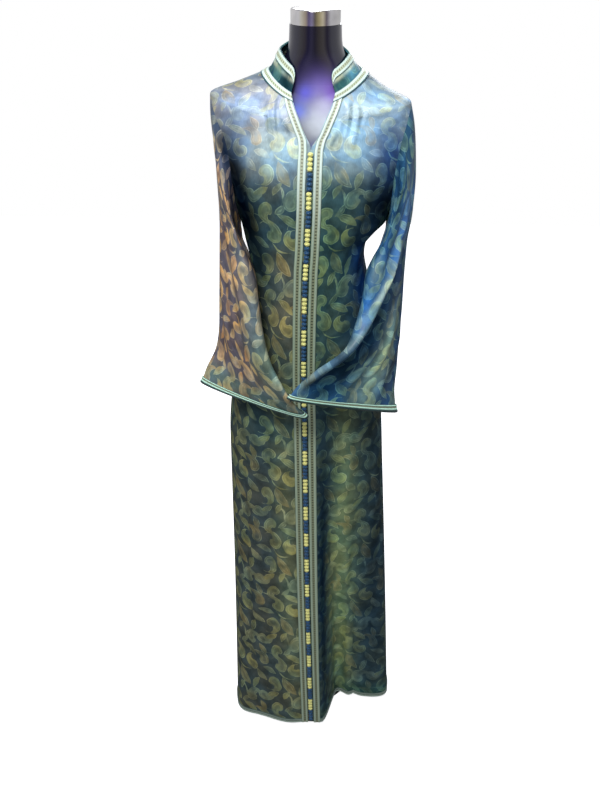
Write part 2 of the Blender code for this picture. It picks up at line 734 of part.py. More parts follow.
def build_knots():
    """Groups of silk knots down the centre front, yellow and blue in turn."""
    outline = group_profile()
    rings = []
    for height, radius in outline:
        angles = [2.0 * pi * side / KNOT_SIDES for side in range(KNOT_SIDES)]
        rings.append([Vector((radius * cos(a), radius * sin(a), height)) for a in angles])
    step = KNOTS_IN_GROUP * KNOT_PITCH
    for pair in range(GROUP_PAIRS):
        for number, colour in enumerate(("yellow", "blue")):
            z = FIRST_GROUP_Z - (2 * pair + number) * step
            above = centre_front(z + step / 2.0)
            below = centre_front(z - step / 2.0)
            along = (above - below).normalized()
            out = Vector((0.0, -along.z, along.y)).normalized()
            place = (above + below) / 2.0 + out * (KNOT_RADIUS + SEAM)
            piece = loft("knots_%s_%02d" % (colour, pair + 1), rings, "knot_" + colour, place)
            piece.rotation_mode = "QUATERNION"
            piece.rotation_quaternion = along.to_track_quat("Z", "Y")


def centre_front(z):
    """The point of the centre front at a height below the V."""
    low = HEM
    high = SHOULDER
    for _ in range(40):
        middle = (low + high) / 2.0
        if section(middle).front_z < z:
            low = middle
        else:
            high = middle
    return body_point(1, 0.0, low, folded=False)


def round_ring(z, half, front, back):
    """One ring of the form's own figure."""
    ring = []
    for step in range(TORSO_COLUMNS):
        angle = 2.0 * pi * step / TORSO_COLUMNS
        depth = front if cos(angle) > 0.0 else back
        ring.append(Vector((half * sin(angle), -depth * cos(angle), z)))
    return ring


def build_form():
    """The torso, its neck cap, its pole and its base."""
    rings = [round_ring(*row) for row in TORSO]
    for row in SHOULDER_EASE:
        cloth = section(row.level)
        ring = []
        for step in range(TORSO_COLUMNS):
            turn = 360.0 * step / TORSO_COLUMNS
            side = 1 if turn <= 180.0 else -1
            point = body_point(side, min(turn, 360.0 - turn), row.level, folded=False)
            half = cloth.left_half if side > 0 else cloth.right_half
            depth = cloth.front if point.y < 0.0 else cloth.back
            point.x *= 1.0 - row.side / half
            point.y *= 1.0 - row.depth / depth
            point.z -= row.drop
            ring.append(point)
        rings.append(ring)
    rings += [round_ring(*row) for row in NECK]
    loft("form_torso", rings, "form_gloss")
    pole_length = TORSO[0].z - BASE_HEIGHT - 2 * SEAM
    neck = (0.0, 0.0, NECK_CAP_Z)
    pole = (STAND_X, STAND_Y, BASE_HEIGHT + SEAM)
    base = (STAND_X, STAND_Y, 0.0)
    for name, radius, height, look, place in (
        ("form_neck_cap", NECK_CAP_RADIUS, NECK_CAP_HEIGHT, "chrome", neck),
        ("form_pole", POLE_RADIUS, pole_length, "steel", pole),
        ("form_base", BASE_RADIUS, BASE_HEIGHT, "steel", base),
    ):
        edit = bmesh.new()
        bmesh.ops.create_cone(
            edit,
            cap_ends=True,
            segments=ROUND_SIDES,
            radius1=radius,
            radius2=radius,
            depth=height,
            matrix=Matrix.Translation((0.0, 0.0, height / 2.0)),
        )
        add_object(name, edit, look, place)


def main():
    for old in list(bpy.data.objects):
        bpy.data.objects.remove(old, do_unlink=True)
    build_form()
    build_garment()
    build_knots()


main()
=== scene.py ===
"""Looks of a long satin kaftan on a dress form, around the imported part.

Metres, +Z up, the front faces -Y.  The cloth follows the same tables of
sections, folds and sleeve rings as the part's solids, on a finer grid.
"""

from collections import namedtuple
from functools import lru_cache
from math import asin, cos, degrees, pi, radians, sin, sqrt

import bpy
import numpy as np
from mathutils import Matrix, Vector


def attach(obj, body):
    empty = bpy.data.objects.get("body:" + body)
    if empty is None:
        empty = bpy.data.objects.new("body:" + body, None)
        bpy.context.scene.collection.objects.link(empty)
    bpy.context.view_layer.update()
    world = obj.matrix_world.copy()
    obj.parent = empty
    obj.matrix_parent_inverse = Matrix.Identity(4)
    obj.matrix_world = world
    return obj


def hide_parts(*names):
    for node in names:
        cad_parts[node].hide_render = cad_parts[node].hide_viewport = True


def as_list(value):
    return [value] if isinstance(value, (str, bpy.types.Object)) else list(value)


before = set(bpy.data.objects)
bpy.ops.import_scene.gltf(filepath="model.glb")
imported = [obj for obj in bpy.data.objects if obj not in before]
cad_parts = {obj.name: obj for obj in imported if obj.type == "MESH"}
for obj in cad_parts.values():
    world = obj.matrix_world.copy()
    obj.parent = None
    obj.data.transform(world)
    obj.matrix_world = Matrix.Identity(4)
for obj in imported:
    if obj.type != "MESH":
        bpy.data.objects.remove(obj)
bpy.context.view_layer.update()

# Thicknesses and gaps
CLOTH = 0.0016
BRAID = 0.0018
SEAM = 0.0003

# Heights along the side of the body
HEM = 0.020
UNDERARM = 1.270
SHOULDER = 1.510
NECKLINE = 1.555
NECK_BRAID_LEVEL = 1.548
HEM_TRIM_WIDTH = 0.011

# Widths of what is sewn along the front
BRAID_WIDTH = 0.016
PLACKET_HALF = 0.007
V_TURNING = 0.001
V_BOTTOM = 1.432
V_EASE = 0.02

# The body cloth, section by section, as in the part
Section = namedtuple(
    "Section", "level left_z front_z back_z right_half left_half front back drift right_y opening"
)
BODY = [
    Section(0.020, 0.020, 0.018, 0.020, 0.191, 0.194, 0.138, 0.180, 0.004, -0.046, 0.0),
    Section(0.240, 0.240, 0.239, 0.240, 0.189, 0.183, 0.134, 0.168, -0.002, -0.030, 0.0),
    Section(0.460, 0.460, 0.460, 0.460, 0.188, 0.171, 0.129, 0.156, -0.007, -0.016, 0.0),
    Section(0.785, 0.785, 0.785, 0.785, 0.187, 0.152, 0.119, 0.140, -0.012, -0.006, 0.0),
    Section(0.870, 0.870, 0.870, 0.870, 0.181, 0.147, 0.117, 0.135, -0.013, -0.003, 0.0),
    Section(0.950, 0.950, 0.950, 0.950, 0.154, 0.142, 0.116, 0.128, -0.015, 0.000, 0.0),
    Section(1.080, 1.080, 1.080, 1.080, 0.125, 0.122, 0.118, 0.112, -0.014, 0.000, 0.0),
    Section(1.163, 1.163, 1.163, 1.163, 0.122, 0.107, 0.120, 0.102, -0.012, 0.000, 0.0),
    Section(1.200, 1.200, 1.200, 1.200, 0.126, 0.101, 0.121, 0.099, -0.011, 0.000, 0.0),
    Section(1.228, 1.228, 1.228, 1.228, 0.133, 0.105, 0.121, 0.099, -0.009, 0.000, 0.0),
    Section(1.246, 1.246, 1.246, 1.246, 0.138, 0.119, 0.121, 0.100, -0.008, 0.000, 0.0),
    Section(1.270, 1.270, 1.270, 1.270, 0.148, 0.143, 0.121, 0.101, -0.007, 0.000, 0.0),
    Section(1.320, 1.319, 1.318, 1.319, 0.165, 0.162, 0.122, 0.104, -0.005, 0.000, 0.0),
    Section(1.370, 1.368, 1.366, 1.368, 0.176, 0.173, 0.120, 0.107, -0.004, 0.000, 0.0),
    Section(1.410, 1.406, 1.402, 1.408, 0.182, 0.179, 0.114, 0.108, -0.003, 0.000, 0.0),
    Section(1.440, 1.433, 1.429, 1.438, 0.187, 0.182, 0.108, 0.107, -0.002, 0.000, 0.0),
    Section(1.475, 1.465, 1.455, 1.472, 0.198, 0.184, 0.101, 0.102, 0.000, 0.000, 0.013),
    Section(1.510, 1.497, 1.480, 1.505, 0.200, 0.181, 0.094, 0.090, 0.000, 0.000, 0.024),
    Section(1.532, 1.523, 1.494, 1.538, 0.146, 0.132, 0.088, 0.078, 0.000, 0.000, 0.031),
    Section(1.548, 1.546, 1.503, 1.563, 0.102, 0.100, 0.084, 0.068, 0.000, 0.000, 0.036),
    Section(1.555, 1.554, 1.516, 1.573, 0.086, 0.085, 0.078, 0.056, 0.000, 0.000, 0.040),
]
ARMHOLE_FRONT = 27.0
ARMHOLE_BACK = 24.0

Fold = namedtuple("Fold", "side start peak end top full depth")
FOLDS = [
    Fold(1, 7.5, 19.0, 92.0, 1.000, 0.020, 0.100),
    Fold(1, 21.0, 33.0, 47.0, 0.850, 0.200, -0.014),
    Fold(1, 60.0, 74.0, 89.0, 0.850, 0.020, -0.012),
    Fold(-1, 2.0, 17.0, 38.0, 0.350, 0.020, -0.007),
    Fold(-1, 42.0, 60.0, 82.0, 0.500, 0.020, -0.008),
    Fold(-1, 98.0, 112.0, 126.0, 0.900, 0.020, 0.014),
    Fold(-1, 134.0, 148.0, 162.0, 0.950, 0.020, 0.016),
    Fold(1, 96.0, 110.0, 124.0, 0.900, 0.020, 0.015),
    Fold(1, 132.0, 147.0, 161.0, 0.950, 0.020, 0.017),
]

# The sleeves, ring by ring, as in the part
Ring = namedtuple("Ring", "along x y z half_long half_flat heading tilt rise")
SLEEVE_LEFT = [
    Ring(0.00, 0.1650, 0.000, 1.383, 0.050, 0.117, 0, 81.0, 0),
    Ring(0.06, 0.1680, -0.002, 1.352, 0.052, 0.108, 3, 77.5, 0),
    Ring(0.12, 0.1665, -0.005, 1.318, 0.059, 0.093, 7, 72, 0),
    Ring(0.19, 0.1628, -0.010, 1.280, 0.067, 0.074, 12, 65, 0),
    Ring(0.27, 0.1560, -0.019, 1.240, 0.077, 0.056, 16, 53, 2),
    Ring(0.35, 0.1465, -0.030, 1.200, 0.086, 0.043, 18, 41, 4),
    Ring(0.45, 0.1430, -0.044, 1.150, 0.092, 0.033, 20, 26, 6),
    Ring(0.56, 0.1365, -0.062, 1.092, 0.098, 0.027, 25, 12, 8),
    Ring(0.68, 0.1250, -0.084, 1.037, 0.106, 0.023, 30, 4, 11),
    Ring(0.80, 0.0980, -0.107, 0.986, 0.116, 0.020, 44, 0, 14),
    Ring(0.91, 0.0750, -0.128, 0.948, 0.126, 0.017, 55, 0, 17),
    Ring(1.00, 0.0690, -0.143, 0.919, 0.136, 0.014, 59, 0, 20),
]
SLEEVE_RIGHT = [
    Ring(0.00, 0.1720, 0.000, 1.390, 0.050, 0.122, 0, 80.0, 0),
    Ring(0.06, 0.1740, 0.000, 1.356, 0.053, 0.111, 2, 79, 0),
    Ring(0.12, 0.1725, -0.003, 1.320, 0.059, 0.095, 5, 77.5, 0),
    Ring(0.19, 0.1685, -0.009, 1.280, 0.067, 0.074, 11, 71, 0),
    Ring(0.27, 0.1600, -0.020, 1.238, 0.076, 0.055, 17, 60, 0),
    Ring(0.35, 0.1540, -0.036, 1.196, 0.086, 0.041, 23, 46, 0),
    Ring(0.45, 0.1510, -0.055, 1.145, 0.094, 0.031, 26, 30, 0),
    Ring(0.56, 0.1470, -0.073, 1.085, 0.101, 0.026, 29, 13, 0),
    Ring(0.68, 0.1400, -0.090, 1.030, 0.109, 0.023, 33, 4, 0),
    Ring(0.80, 0.1300, -0.105, 0.980, 0.118, 0.020, 42, 0, -1),
    Ring(0.91, 0.1260, -0.115, 0.944, 0.127, 0.017, 53, 0, -2),
    Ring(1.00, 0.1200, -0.121, 0.916, 0.133, 0.014, 62, 0, -2),
]
CAP_FADE = 0.22
CUFF_TRIM_SHARE = 0.036

# The standing collar, as in the part
Standing = namedtuple("Standing", "height top_half top_z")
COLLAR_RIGHT = Standing(0.042, 0.060, 1.600)
COLLAR_LEFT = Standing(0.037, 0.050, 1.596)
COLLAR_TOP_FRONT = 0.056
COLLAR_TOP_BACK = 0.050
COLLAR_FRONT_DROP = 0.034
COLLAR_BACK_RISE = 0.014
COLLAR_CORNER = 0.016
COLLAR_CORNER_CUT = 0.45
COLLAR_BRAID_SHARE = 0.62

# Silk knots, as in the part, but wider across and each with its own waist
KNOT_PITCH = 0.00875
KNOTS_IN_GROUP = 4
KNOT_RADIUS = 0.0040
GROUP_PAIRS = 20
FIRST_GROUP_Z = 1.409
KNOT_WIDE = 1.32
KNOT_SIDES = 14
KNOT_RINGS = 9
KNOT_END = 0.06
KNOT_ROUND = 0.8
KNOT_SWELL = 0.05

# The dress form, as in the part
Figure = namedtuple("Figure", "z half front back")
TORSO = [
    Figure(0.842, 0.045, 0.030, 0.068),
    Figure(0.850, 0.080, 0.062, 0.086),
    Figure(0.875, 0.112, 0.086, 0.104),
    Figure(0.940, 0.126, 0.095, 0.120),
    Figure(1.020, 0.120, 0.094, 0.112),
    Figure(1.090, 0.104, 0.091, 0.096),
    Figure(1.150, 0.095, 0.089, 0.086),
    Figure(1.205, 0.094, 0.092, 0.084),
]
Ease = namedtuple("Ease", "level side depth drop")
SHOULDER_EASE = [
    Ease(1.250, 0.022, 0.0180, 0.0),
    Ease(1.300, 0.022, 0.0080, 0.0),
    Ease(1.350, 0.018, 0.0055, 0.0),
    Ease(1.400, 0.013, 0.0045, 0.001),
    Ease(1.450, 0.008, 0.0040, 0.002),
    Ease(1.485, 0.0045, 0.0030, 0.0024),
    Ease(1.510, 0.0030, 0.0024, 0.0022),
    Ease(1.524, 0.0020, 0.0022, 0.0022),
    Ease(1.537, 0.0018, 0.0022, 0.0022),
    Ease(1.548, 0.0018, 0.0022, 0.0022),
    Ease(1.555, 0.0100, 0.0110, 0.0050),
]
NECK = [
    Figure(1.574, 0.0600, 0.0540, 0.0430),
    Figure(1.590, 0.0520, 0.0500, 0.0440),
    Figure(1.608, 0.0490, 0.0490, 0.0470),
    Figure(1.634, 0.0480, 0.0480, 0.0480),
]
NECK_CAP_RADIUS = 0.0465
NECK_CAP_Z = 1.6343
# The cap's outline from its lower edge up: how far out, and how high
CAP_OUTLINE = [
    (-0.0006, 0.0),
    (-0.0006, 0.0225),
    (-0.0007, 0.0242),
    (-0.0012, 0.0254),
    (-0.0024, 0.0261),
    (-0.0045, 0.0262),
    (-0.0300, 0.0262),
]
FORM_SIDES = 96
TORSO_RINGS = 28
SHOULDER_RINGS = 61
NECK_ROOT_RINGS = 14
NECK_RINGS = 18

# How far forward the form reaches in the open neck, by height
Throat = namedtuple("Throat", "z reach")
THROAT = [
    Throat(1.380, 0.124),
    Throat(1.430, 0.110),
    Throat(1.470, 0.088),
    Throat(1.500, 0.069),
    Throat(1.518, 0.0615),
    Throat(1.542, 0.0565),
    Throat(1.574, 0.0525),
    Throat(1.600, 0.0495),
]
THROAT_EASE = 0.010
THROAT_STEP = 0.002
THROAT_STEPS = 111
THROAT_HEIGHTS = [THROAT[0].z + i * THROAT_STEP for i in range(THROAT_STEPS)]
OPEN_NECK_HALF = 0.085
OPEN_NECK_SIDE_EASE = 0.05
OPEN_NECK_LOW_EASE = 0.04
OPEN_NECK_HIGH_EASE = 0.03

# The form's colour and the painted reflections and highlights of the lights on its gloss: place,
# reach and colour
FORM_TONE = (0.006, 0.006, 0.016)
FORM_PAINTED_REFLECTIONS = [
    ((0.010, -0.060, 1.524), 0.032, (0.17, 0.12, 0.46)),
    ((0.016, -0.090, 1.474), 0.044, (0.52, 0.56, 0.62)),
    ((0.022, -0.074, 1.502), 0.018, (0.50, 0.50, 0.66)),
    ((-0.016, -0.066, 1.524), 0.014, (0.13, 0.13, 0.72)),
    ((-0.028, -0.080, 1.496), 0.016, (0.12, 0.18, 0.70)),
    ((0.036, -0.064, 1.526), 0.018, (0.26, 0.14, 0.62)),
    ((0.008, -0.106, 1.434), 0.012, (0.14, 0.17, 0.45)),
]

# The grids of the scene's own cloth
FRONT_COLUMNS = 60
BACK_COLUMNS = 96
BAND_COLUMNS = 10
GAUGE_COLUMN = BAND_COLUMNS + 8
ROW_PITCH = 0.0065
ARMHOLE_ROWS = 44
YOKE_ROWS = 12
NECK_TRIM_ROWS = 3
HEM_TRIM_ROWS = 2
SLEEVE_RINGS = 130
SLEEVE_ANGLES = 112
CUFF_ROWS = 10
COLLAR_ROWS = 22
PANEL_ROUNDS = 250
SLEEVE_ROUNDS = 400
RELAX_STEP = 1.6
TINY = 1e-6

# The first guess at the flat coordinates of the yoke, which slopes back
YOKE_START = 1.43
YOKE_EASE = 0.06
YOKE_STRETCH = 1.1
YOKE_SLOPE = 0.9
YOKE_FRONT = 0.115

# How far from an edge the creases begin, and how they run out
FRONT_HOLD = 0.012
BACK_HOLD = 0.02
SLEEVE_HOLD = 0.03
HEM_HOLD = 0.06
CREASE_PAST = 0.12
CREASE_FADE = 0.35

# The camera, fitted to the photo, for a frame of 600 by 800
CAMERA_PLACE = (0.0988, -1.8524, 1.8435)
CAMERA_YAW = -4.0
CAMERA_PITCH = 28.064
CAMERA_ROLL = -0.178
CAMERA_LENS = 42.75
SENSOR = 36.0

# The room: greys of the floor and colours of the surround, low and high
FLOOR_HALF = 4.0
FLOOR_GLOW = 0.92
FLOOR_PALE = (0.86, 0.88)
FLOOR_UNSEEN = (0.40, 0.12)
FLOOR_NOISE = (3.0, 3.0)
FLOOR_LIMITS = (0.3, 0.7)
FLOOR_ROUGHNESS = 0.9
FLOOR_LEVEL = 0.1
SURROUND = ((0.20, 0.20, 0.22), (0.30, 0.31, 0.36))
SURROUND_LIMITS = (-0.2, 0.9)
PANEL_LIMITS = (0.75, 0.45)
Lamp = namedtuple("Lamp", "name place aim size power colour")
LAMPS = [
    Lamp("key", (-0.5, -2.0, 3.3), (0.0, -0.05, 1.2), 1.2, 62.0, (1.0, 0.99, 0.97)),
    Lamp("top", (0.0, -0.5, 3.3), (0.0, 0.0, 1.3), 1.3, 26.0, (0.90, 0.92, 1.0)),
    Lamp("rear", (0.4, 2.4, 2.2), (0.0, 0.1, 1.0), 1.4, 22.0, (0.95, 0.97, 1.0)),
]

# What gloss reflects, by its bearing: 0 and 1 behind the form, 0.5 in front
PANELS = [
    (0.00, (0.55, 0.55, 0.58)),
    (0.12, (0.70, 0.70, 0.73)),
    (0.27, (0.66, 0.66, 0.72)),
    (0.32, (0.62, 0.60, 0.54)),
    (0.38, (0.40, 0.34, 0.28)),
    (0.42, (0.10, 0.08, 0.22)),
    (0.46, (0.30, 0.27, 0.46)),
    (0.50, (0.14, 0.12, 0.10)),
    (0.55, (0.44, 0.38, 0.22)),
    (0.60, (0.66, 0.60, 0.46)),
    (0.65, (0.16, 0.13, 0.18)),
    (0.71, (0.66, 0.66, 0.72)),
    (0.88, (0.70, 0.70, 0.73)),
    (1.00, (0.55, 0.55, 0.58)),
]

# Braids: places across the band from 0 to 1 with their colours, the two sides
# of the channel, the pitch of its rungs, their colour and their share
DULL = (90, 126, 118)
MINT = (226, 246, 236)
STRAW = (186, 194, 168)
PALE = (212, 234, 222)
ROUND_STRAW = (190, 200, 166)
BASE_STRAW = (188, 198, 164)
CUFF_MINT = (208, 255, 232)
HEM_EDGE = (80, 100, 92)
HEM_PALE = (168, 190, 174)
HEM_DARK = (90, 100, 84)
Braid = namedtuple("Braid", "stops channel pitch rung share")
BRAIDS = {
    "front": Braid(
        [(0.0, DULL), (0.09, MINT), (0.28, MINT), (0.35, STRAW)]
        + [(0.65, STRAW), (0.72, MINT), (0.91, MINT), (1.0, DULL)],
        (0.36, 0.64), 0.0064, (44, 54, 40), 0.85,
    ),
    "round": Braid(
        [(0.0, (30, 84, 88)), (0.07, PALE), (0.25, PALE), (0.33, ROUND_STRAW)]
        + [(0.67, ROUND_STRAW), (0.75, PALE), (0.93, PALE), (1.0, (60, 110, 104))],
        (0.34, 0.66), 0.0056, (54, 66, 50), 1.0,
    ),
    "base": Braid(
        [(0.0, (10, 60, 70)), (0.12, (16, 84, 92)), (0.18, PALE), (0.36, PALE), (0.43, BASE_STRAW)]
        + [(0.66, BASE_STRAW), (0.73, PALE), (0.90, PALE), (1.0, (20, 86, 92))],
        (0.43, 0.66), 0.0056, (58, 70, 54), 1.0,
    ),
    "cuff": Braid(
        [(0.0, (40, 84, 78)), (0.04, CUFF_MINT), (0.15, CUFF_MINT), (0.20, (92, 104, 76))]
        + [(0.31, (150, 162, 128)), (0.40, (76, 92, 70)), (0.45, CUFF_MINT), (0.58, CUFF_MINT)]
        + [(0.65, (10, 60, 54)), (1.0, (4, 34, 38))],
        (0.20, 0.40), 0.0040, (60, 66, 46), 0.6,
    ),
    "hem": Braid(
        [(0.0, HEM_EDGE), (0.15, HEM_PALE), (0.38, HEM_PALE), (0.48, HEM_DARK)]
        + [(0.62, HEM_DARK), (0.72, (158, 180, 164)), (1.0, HEM_EDGE)],
        (0.44, 0.66), 0.0060, (46, 54, 46), 0.8,
    ),
}
# Round ridges of a braid across its width: middle, half width and height
FRONT_RIDGES = [(0.16, 0.16, 0.0012), (0.84, 0.16, 0.0012)]
CUFF_RIDGES = [(0.10, 0.10, 0.0010), (0.52, 0.10, 0.0012), (0.82, 0.18, 0.0016)]
# Painted shade: the braids of the front are dimmer below this level, and by this much
PAINTED_SHADE_LEVEL = 1.20
PAINTED_SHADE_EASE = 0.25
PAINTED_SHADE_LOW = (0.46, 0.49, 0.39)


def smoothstep(value):
    """0 below 0, 1 above 1 and an even curve between."""
    inside = np.clip(value, 0.0, 1.0)
    return inside * inside * (3.0 - 2.0 * inside)


def column_value(table, column, at):
    """A monotone cubic through a column of a table, read at a value of its first column."""
    keys = [row[0] for row in table]
    values = [getattr(row, column) for row in table]
    last = len(keys) - 1
    at = min(max(at, keys[0]), keys[last])
    steps = [(values[i + 1] - values[i]) / (keys[i + 1] - keys[i]) for i in range(last)]
    span = max(i for i in range(last) if keys[i] <= at)

    def slope(i):
        if i == 0 or i == last:
            return steps[min(i, last - 1)]
        before, after = steps[i - 1 : i + 1]
        if before * after <= 0.0:
            return 0.0
        return 2.0 * before * after / (before + after)

    width = keys[span + 1] - keys[span]
    t = (at - keys[span]) / width
    t2 = t * t
    t3 = t2 * t
    return (
        (2 * t3 - 3 * t2 + 1) * values[span]
        + (t3 - 2 * t2 + t) * width * slope(span)
        + (3 * t2 - 2 * t3) * values[span + 1]
        + (t3 - t2) * width * slope(span + 1)
    )


def row_at(table, at):
    """A row of a table at any value of its first column."""
    kind = type(table[0])
    return kind(at, *[column_value(table, name, at) for name in kind._fields[1:]])


@lru_cache(maxsize=None)
def section(level):
    """The body cloth's section at any level."""
    return row_at(BODY, level)


def fold_depth(side, turn, z):
    """How far the folds sink the cloth at a turn and a height."""
    depth = 0.0
    for fold in FOLDS:
        if fold.side != side or not fold.start < turn < fold.end:
            continue
        if turn < fold.peak:
            share = (turn - fold.start) / (fold.peak - fold.start)
        else:
            share = (fold.end - turn) / (fold.end - fold.peak)
        fade = (fold.top - z) / (fold.top - fold.full)
        depth += fold.depth * float(smoothstep(share) * smoothstep(fade))
    return depth


def body_point(side, turn, level, folded=True):
    """A point of the body cloth's outer face, as in the part."""
    row = section(level)
    ahead = cos(radians(turn))
    across = sin(radians(turn))
    if side > 0:
        half, side_y, side_z = row.left_half, 0.0, row.left_z
    else:
        half, side_y, side_z = row.right_half, row.right_y, level
    if ahead > 0.0:
        depth, lean, drift = row.front, row.front_z - side_z, row.drift * ahead * ahead
    else:
        depth, lean, drift = row.back, row.back_z - side_z, 0.0
    x = drift + side * half * across
    y = side_y * across * across - depth * ahead
    z = side_z + lean * ahead * ahead
    sunk = fold_depth(side, turn, z) if folded else 0.0
    if sunk:
        inward = Vector((-side * across ** 3, ahead)).normalized()
        x += inward.x * sunk
        y += inward.y * sunk
    return Vector((x, y, z))


def turn_at(side, level, distance):
    """The turn at which the front lies a distance from its centre line."""
    half = section(level).left_half if side > 0 else section(level).right_half
    return degrees(asin(min(distance / half, 1.0)))


def armhole_level(angle):
    """The level of the armhole edge, angle running from -90 below to 90 on top."""
    return UNDERARM + (SHOULDER - UNDERARM) * (1.0 + sin(radians(angle))) / 2.0


def armhole_cut(level):
    """How much of the armhole's full width is cut away at a level, 0 to 1."""
    if not UNDERARM < level < SHOULDER:
        return 0.0
    height = 2.0 * (level - UNDERARM) / (SHOULDER - UNDERARM) - 1.0
    return sqrt(max(1.0 - height * height, 0.0))


def armhole_point(side, angle):
    """A point of the armhole edge: 0 in front, 90 on top, 180 behind, 270 below."""
    width = cos(radians(angle))
    reach = ARMHOLE_FRONT if width >= 0.0 else ARMHOLE_BACK
    return body_point(side, 90.0 - reach * width, armhole_level(angle))


@lru_cache(maxsize=None)
def ring_frame(side, along):
    """Centre, long half and flat half of a sleeve's oval, as vectors."""
    row = row_at(SLEEVE_LEFT if side > 0 else SLEEVE_RIGHT, along)
    heading = radians(row.heading)
    rise = radians(row.rise)
    tilt = radians(row.tilt)
    long_axis = Vector((-side * cos(rise) * sin(heading), -cos(rise) * cos(heading), sin(rise)))
    outward = Vector((side * cos(heading), -sin(heading), 0.0))
    upward = long_axis.cross(outward) * side
    flat_axis = outward * cos(tilt) + upward * sin(tilt)
    return Vector((side * row.x, row.y, row.z)), long_axis * row.half_long, flat_axis * row.half_flat


def sleeve_point(side, along, angle):
    """A point of a sleeve's outer face, as in the part."""

    def oval(share):
        centre, long_half, flat_half = ring_frame(side, share)
        return centre + long_half * cos(radians(angle)) + flat_half * sin(radians(angle))

    point = oval(along)
    if along < CAP_FADE:
        error = armhole_point(side, angle) - oval(0.0)
        point += error * (1.0 - float(smoothstep(along / CAP_FADE)))
    return point


class Cloth:
    """A grid of points on an outer face, the way out, and flat coordinates.

    points and normals are arrays of rows, columns and three; flat holds two
    lengths for each point, with one more column where the cloth is closed.
    """

    def __init__(self, points, outward, closed=False, normals=None, flat=None):
        self.points = np.array(points)
        self.outward = outward
        self.closed = closed
        self.normals = normals
        self.flat = flat
        if normals is None:
            self.find_normals()

    def find_normals(self):
        up = np.gradient(self.points, axis=0)
        if self.closed:
            across = np.roll(self.points, -1, axis=1) - np.roll(self.points, 1, axis=1)
        else:
            across = np.gradient(self.points, axis=1)
        normals = np.cross(across, up) * self.outward
        self.normals = normals / np.linalg.norm(normals, axis=2, keepdims=True)

    def part(self, rows, columns=slice(None)):
        """A rectangle of the grid, given as two slices."""
        points, normals, flat = [
            grid[rows, columns].copy() for grid in (self.points, self.normals, self.flat)
        ]
        closed = self.closed and columns == slice(None)
        return Cloth(points, self.outward, closed, normals, flat)

    def flipped(self):
        """The same cloth with its columns in the other order."""
        points, normals, flat = [
            grid[:, ::-1].copy() for grid in (self.points, self.normals, self.flat)
        ]
        return Cloth(points, -self.outward, self.closed, normals, flat)


def joined(*cloths):
    """Cloths side by side as one, each shared column once."""
    points, normals, flat = [
        np.concatenate([getattr(c, name)[:, min(i, 1) :] for i, c in enumerate(cloths)], axis=1)
        for name in ("points", "normals", "flat")
    ]
    return Cloth(points, cloths[0].outward, False, normals, flat)


def distances(points, axis):
    """Running lengths along rows or columns of a grid."""
    steps = np.linalg.norm(np.diff(points, axis=axis), axis=2)
    start = np.zeros_like(np.take(steps, [0], axis=axis))
    return np.concatenate([start, np.cumsum(steps, axis=axis)], axis=axis)


def relax(points, flat, rounds):
    """Eases flat coordinates until lengths in them are those on the cloth."""
    every, early, late = slice(None), slice(None, -1), slice(1, None)
    pairs = [
        ((every, early), (every, late)),
        ((early, every), (late, every)),
        ((early, early), (late, late)),
        ((early, late), (late, early)),
    ]
    lengths = [np.linalg.norm(points[b] - points[a], axis=2) for a, b in pairs]
    count = np.zeros(flat.shape[:2])
    for pair in pairs:
        for place in pair:
            count[place] += 1
    for _ in range(rounds):
        move = np.zeros_like(flat)
        for (a, b), length in zip(pairs, lengths):
            step = flat[b] - flat[a]
            size = np.maximum(np.linalg.norm(step, axis=2), TINY)
            shift = step * (0.5 * (1.0 - length / size))[..., None]
            move[a] += shift
            move[b] -= shift
        flat += move * (RELAX_STEP / count)[..., None]
    return flat


def panel_levels():
    """The levels of the panels' rows, from the hem to the neckline."""
    hem = [HEM, HEM + HEM_TRIM_WIDTH / 2]
    skirt = list(np.arange(HEM + HEM_TRIM_WIDTH, UNDERARM - ROW_PITCH / 2, ROW_PITCH))
    armhole = [armhole_level(-90.0 + 180.0 * i / ARMHOLE_ROWS) for i in range(ARMHOLE_ROWS + 1)]
    yoke = list(np.linspace(SHOULDER, NECK_BRAID_LEVEL, YOKE_ROWS + 1))[1:]
    top = list(np.linspace(NECK_BRAID_LEVEL, NECKLINE, NECK_TRIM_ROWS + 1))[1:]
    return [float(level) for level in hem + skirt + armhole + yoke + top]


def front_cloth(side, levels):
    """A front panel, its columns from the centre front to the side."""
    rows = []
    starts = []
    for level in levels:
        row = section(level)
        side_turn = 90.0 - ARMHOLE_FRONT * armhole_cut(level)
        v_share = float(smoothstep((row.front_z - V_BOTTOM) / V_EASE))
        lead = PLACKET_HALF + (V_TURNING - PLACKET_HALF) * v_share
        edge = row.opening
        places = [edge, edge + lead / 2]
        places += [edge + lead + BRAID_WIDTH * i / BAND_COLUMNS for i in range(BAND_COLUMNS + 1)]
        near = [turn_at(side, level, place) for place in places]
        start = near[-1]
        rest = [start + (side_turn - start) * i / FRONT_COLUMNS for i in range(1, FRONT_COLUMNS + 1)]
        rows.append([body_point(side, turn, level) for turn in near + rest])
        starts.append(edge)
    cloth = Cloth(rows, side)
    x, y, z = np.moveaxis(cloth.points, 2, 0)
    across = distances(cloth.points, 1) + np.array(starts)[:, None]
    up = HEM + distances(cloth.points[:, GAUGE_COLUMN : GAUGE_COLUMN + 1], 0)
    yoke = smoothstep((z - YOKE_START) / YOKE_EASE)
    u = across * (1.0 - yoke) + np.abs(x) * YOKE_STRETCH * yoke
    v = up * (1.0 - yoke) + (z + YOKE_SLOPE * (y + YOKE_FRONT)) * yoke
    cloth.flat = relax(cloth.points, np.stack([u, v], axis=2), PANEL_ROUNDS)
    cloth.flat[..., 0] *= side
    return cloth


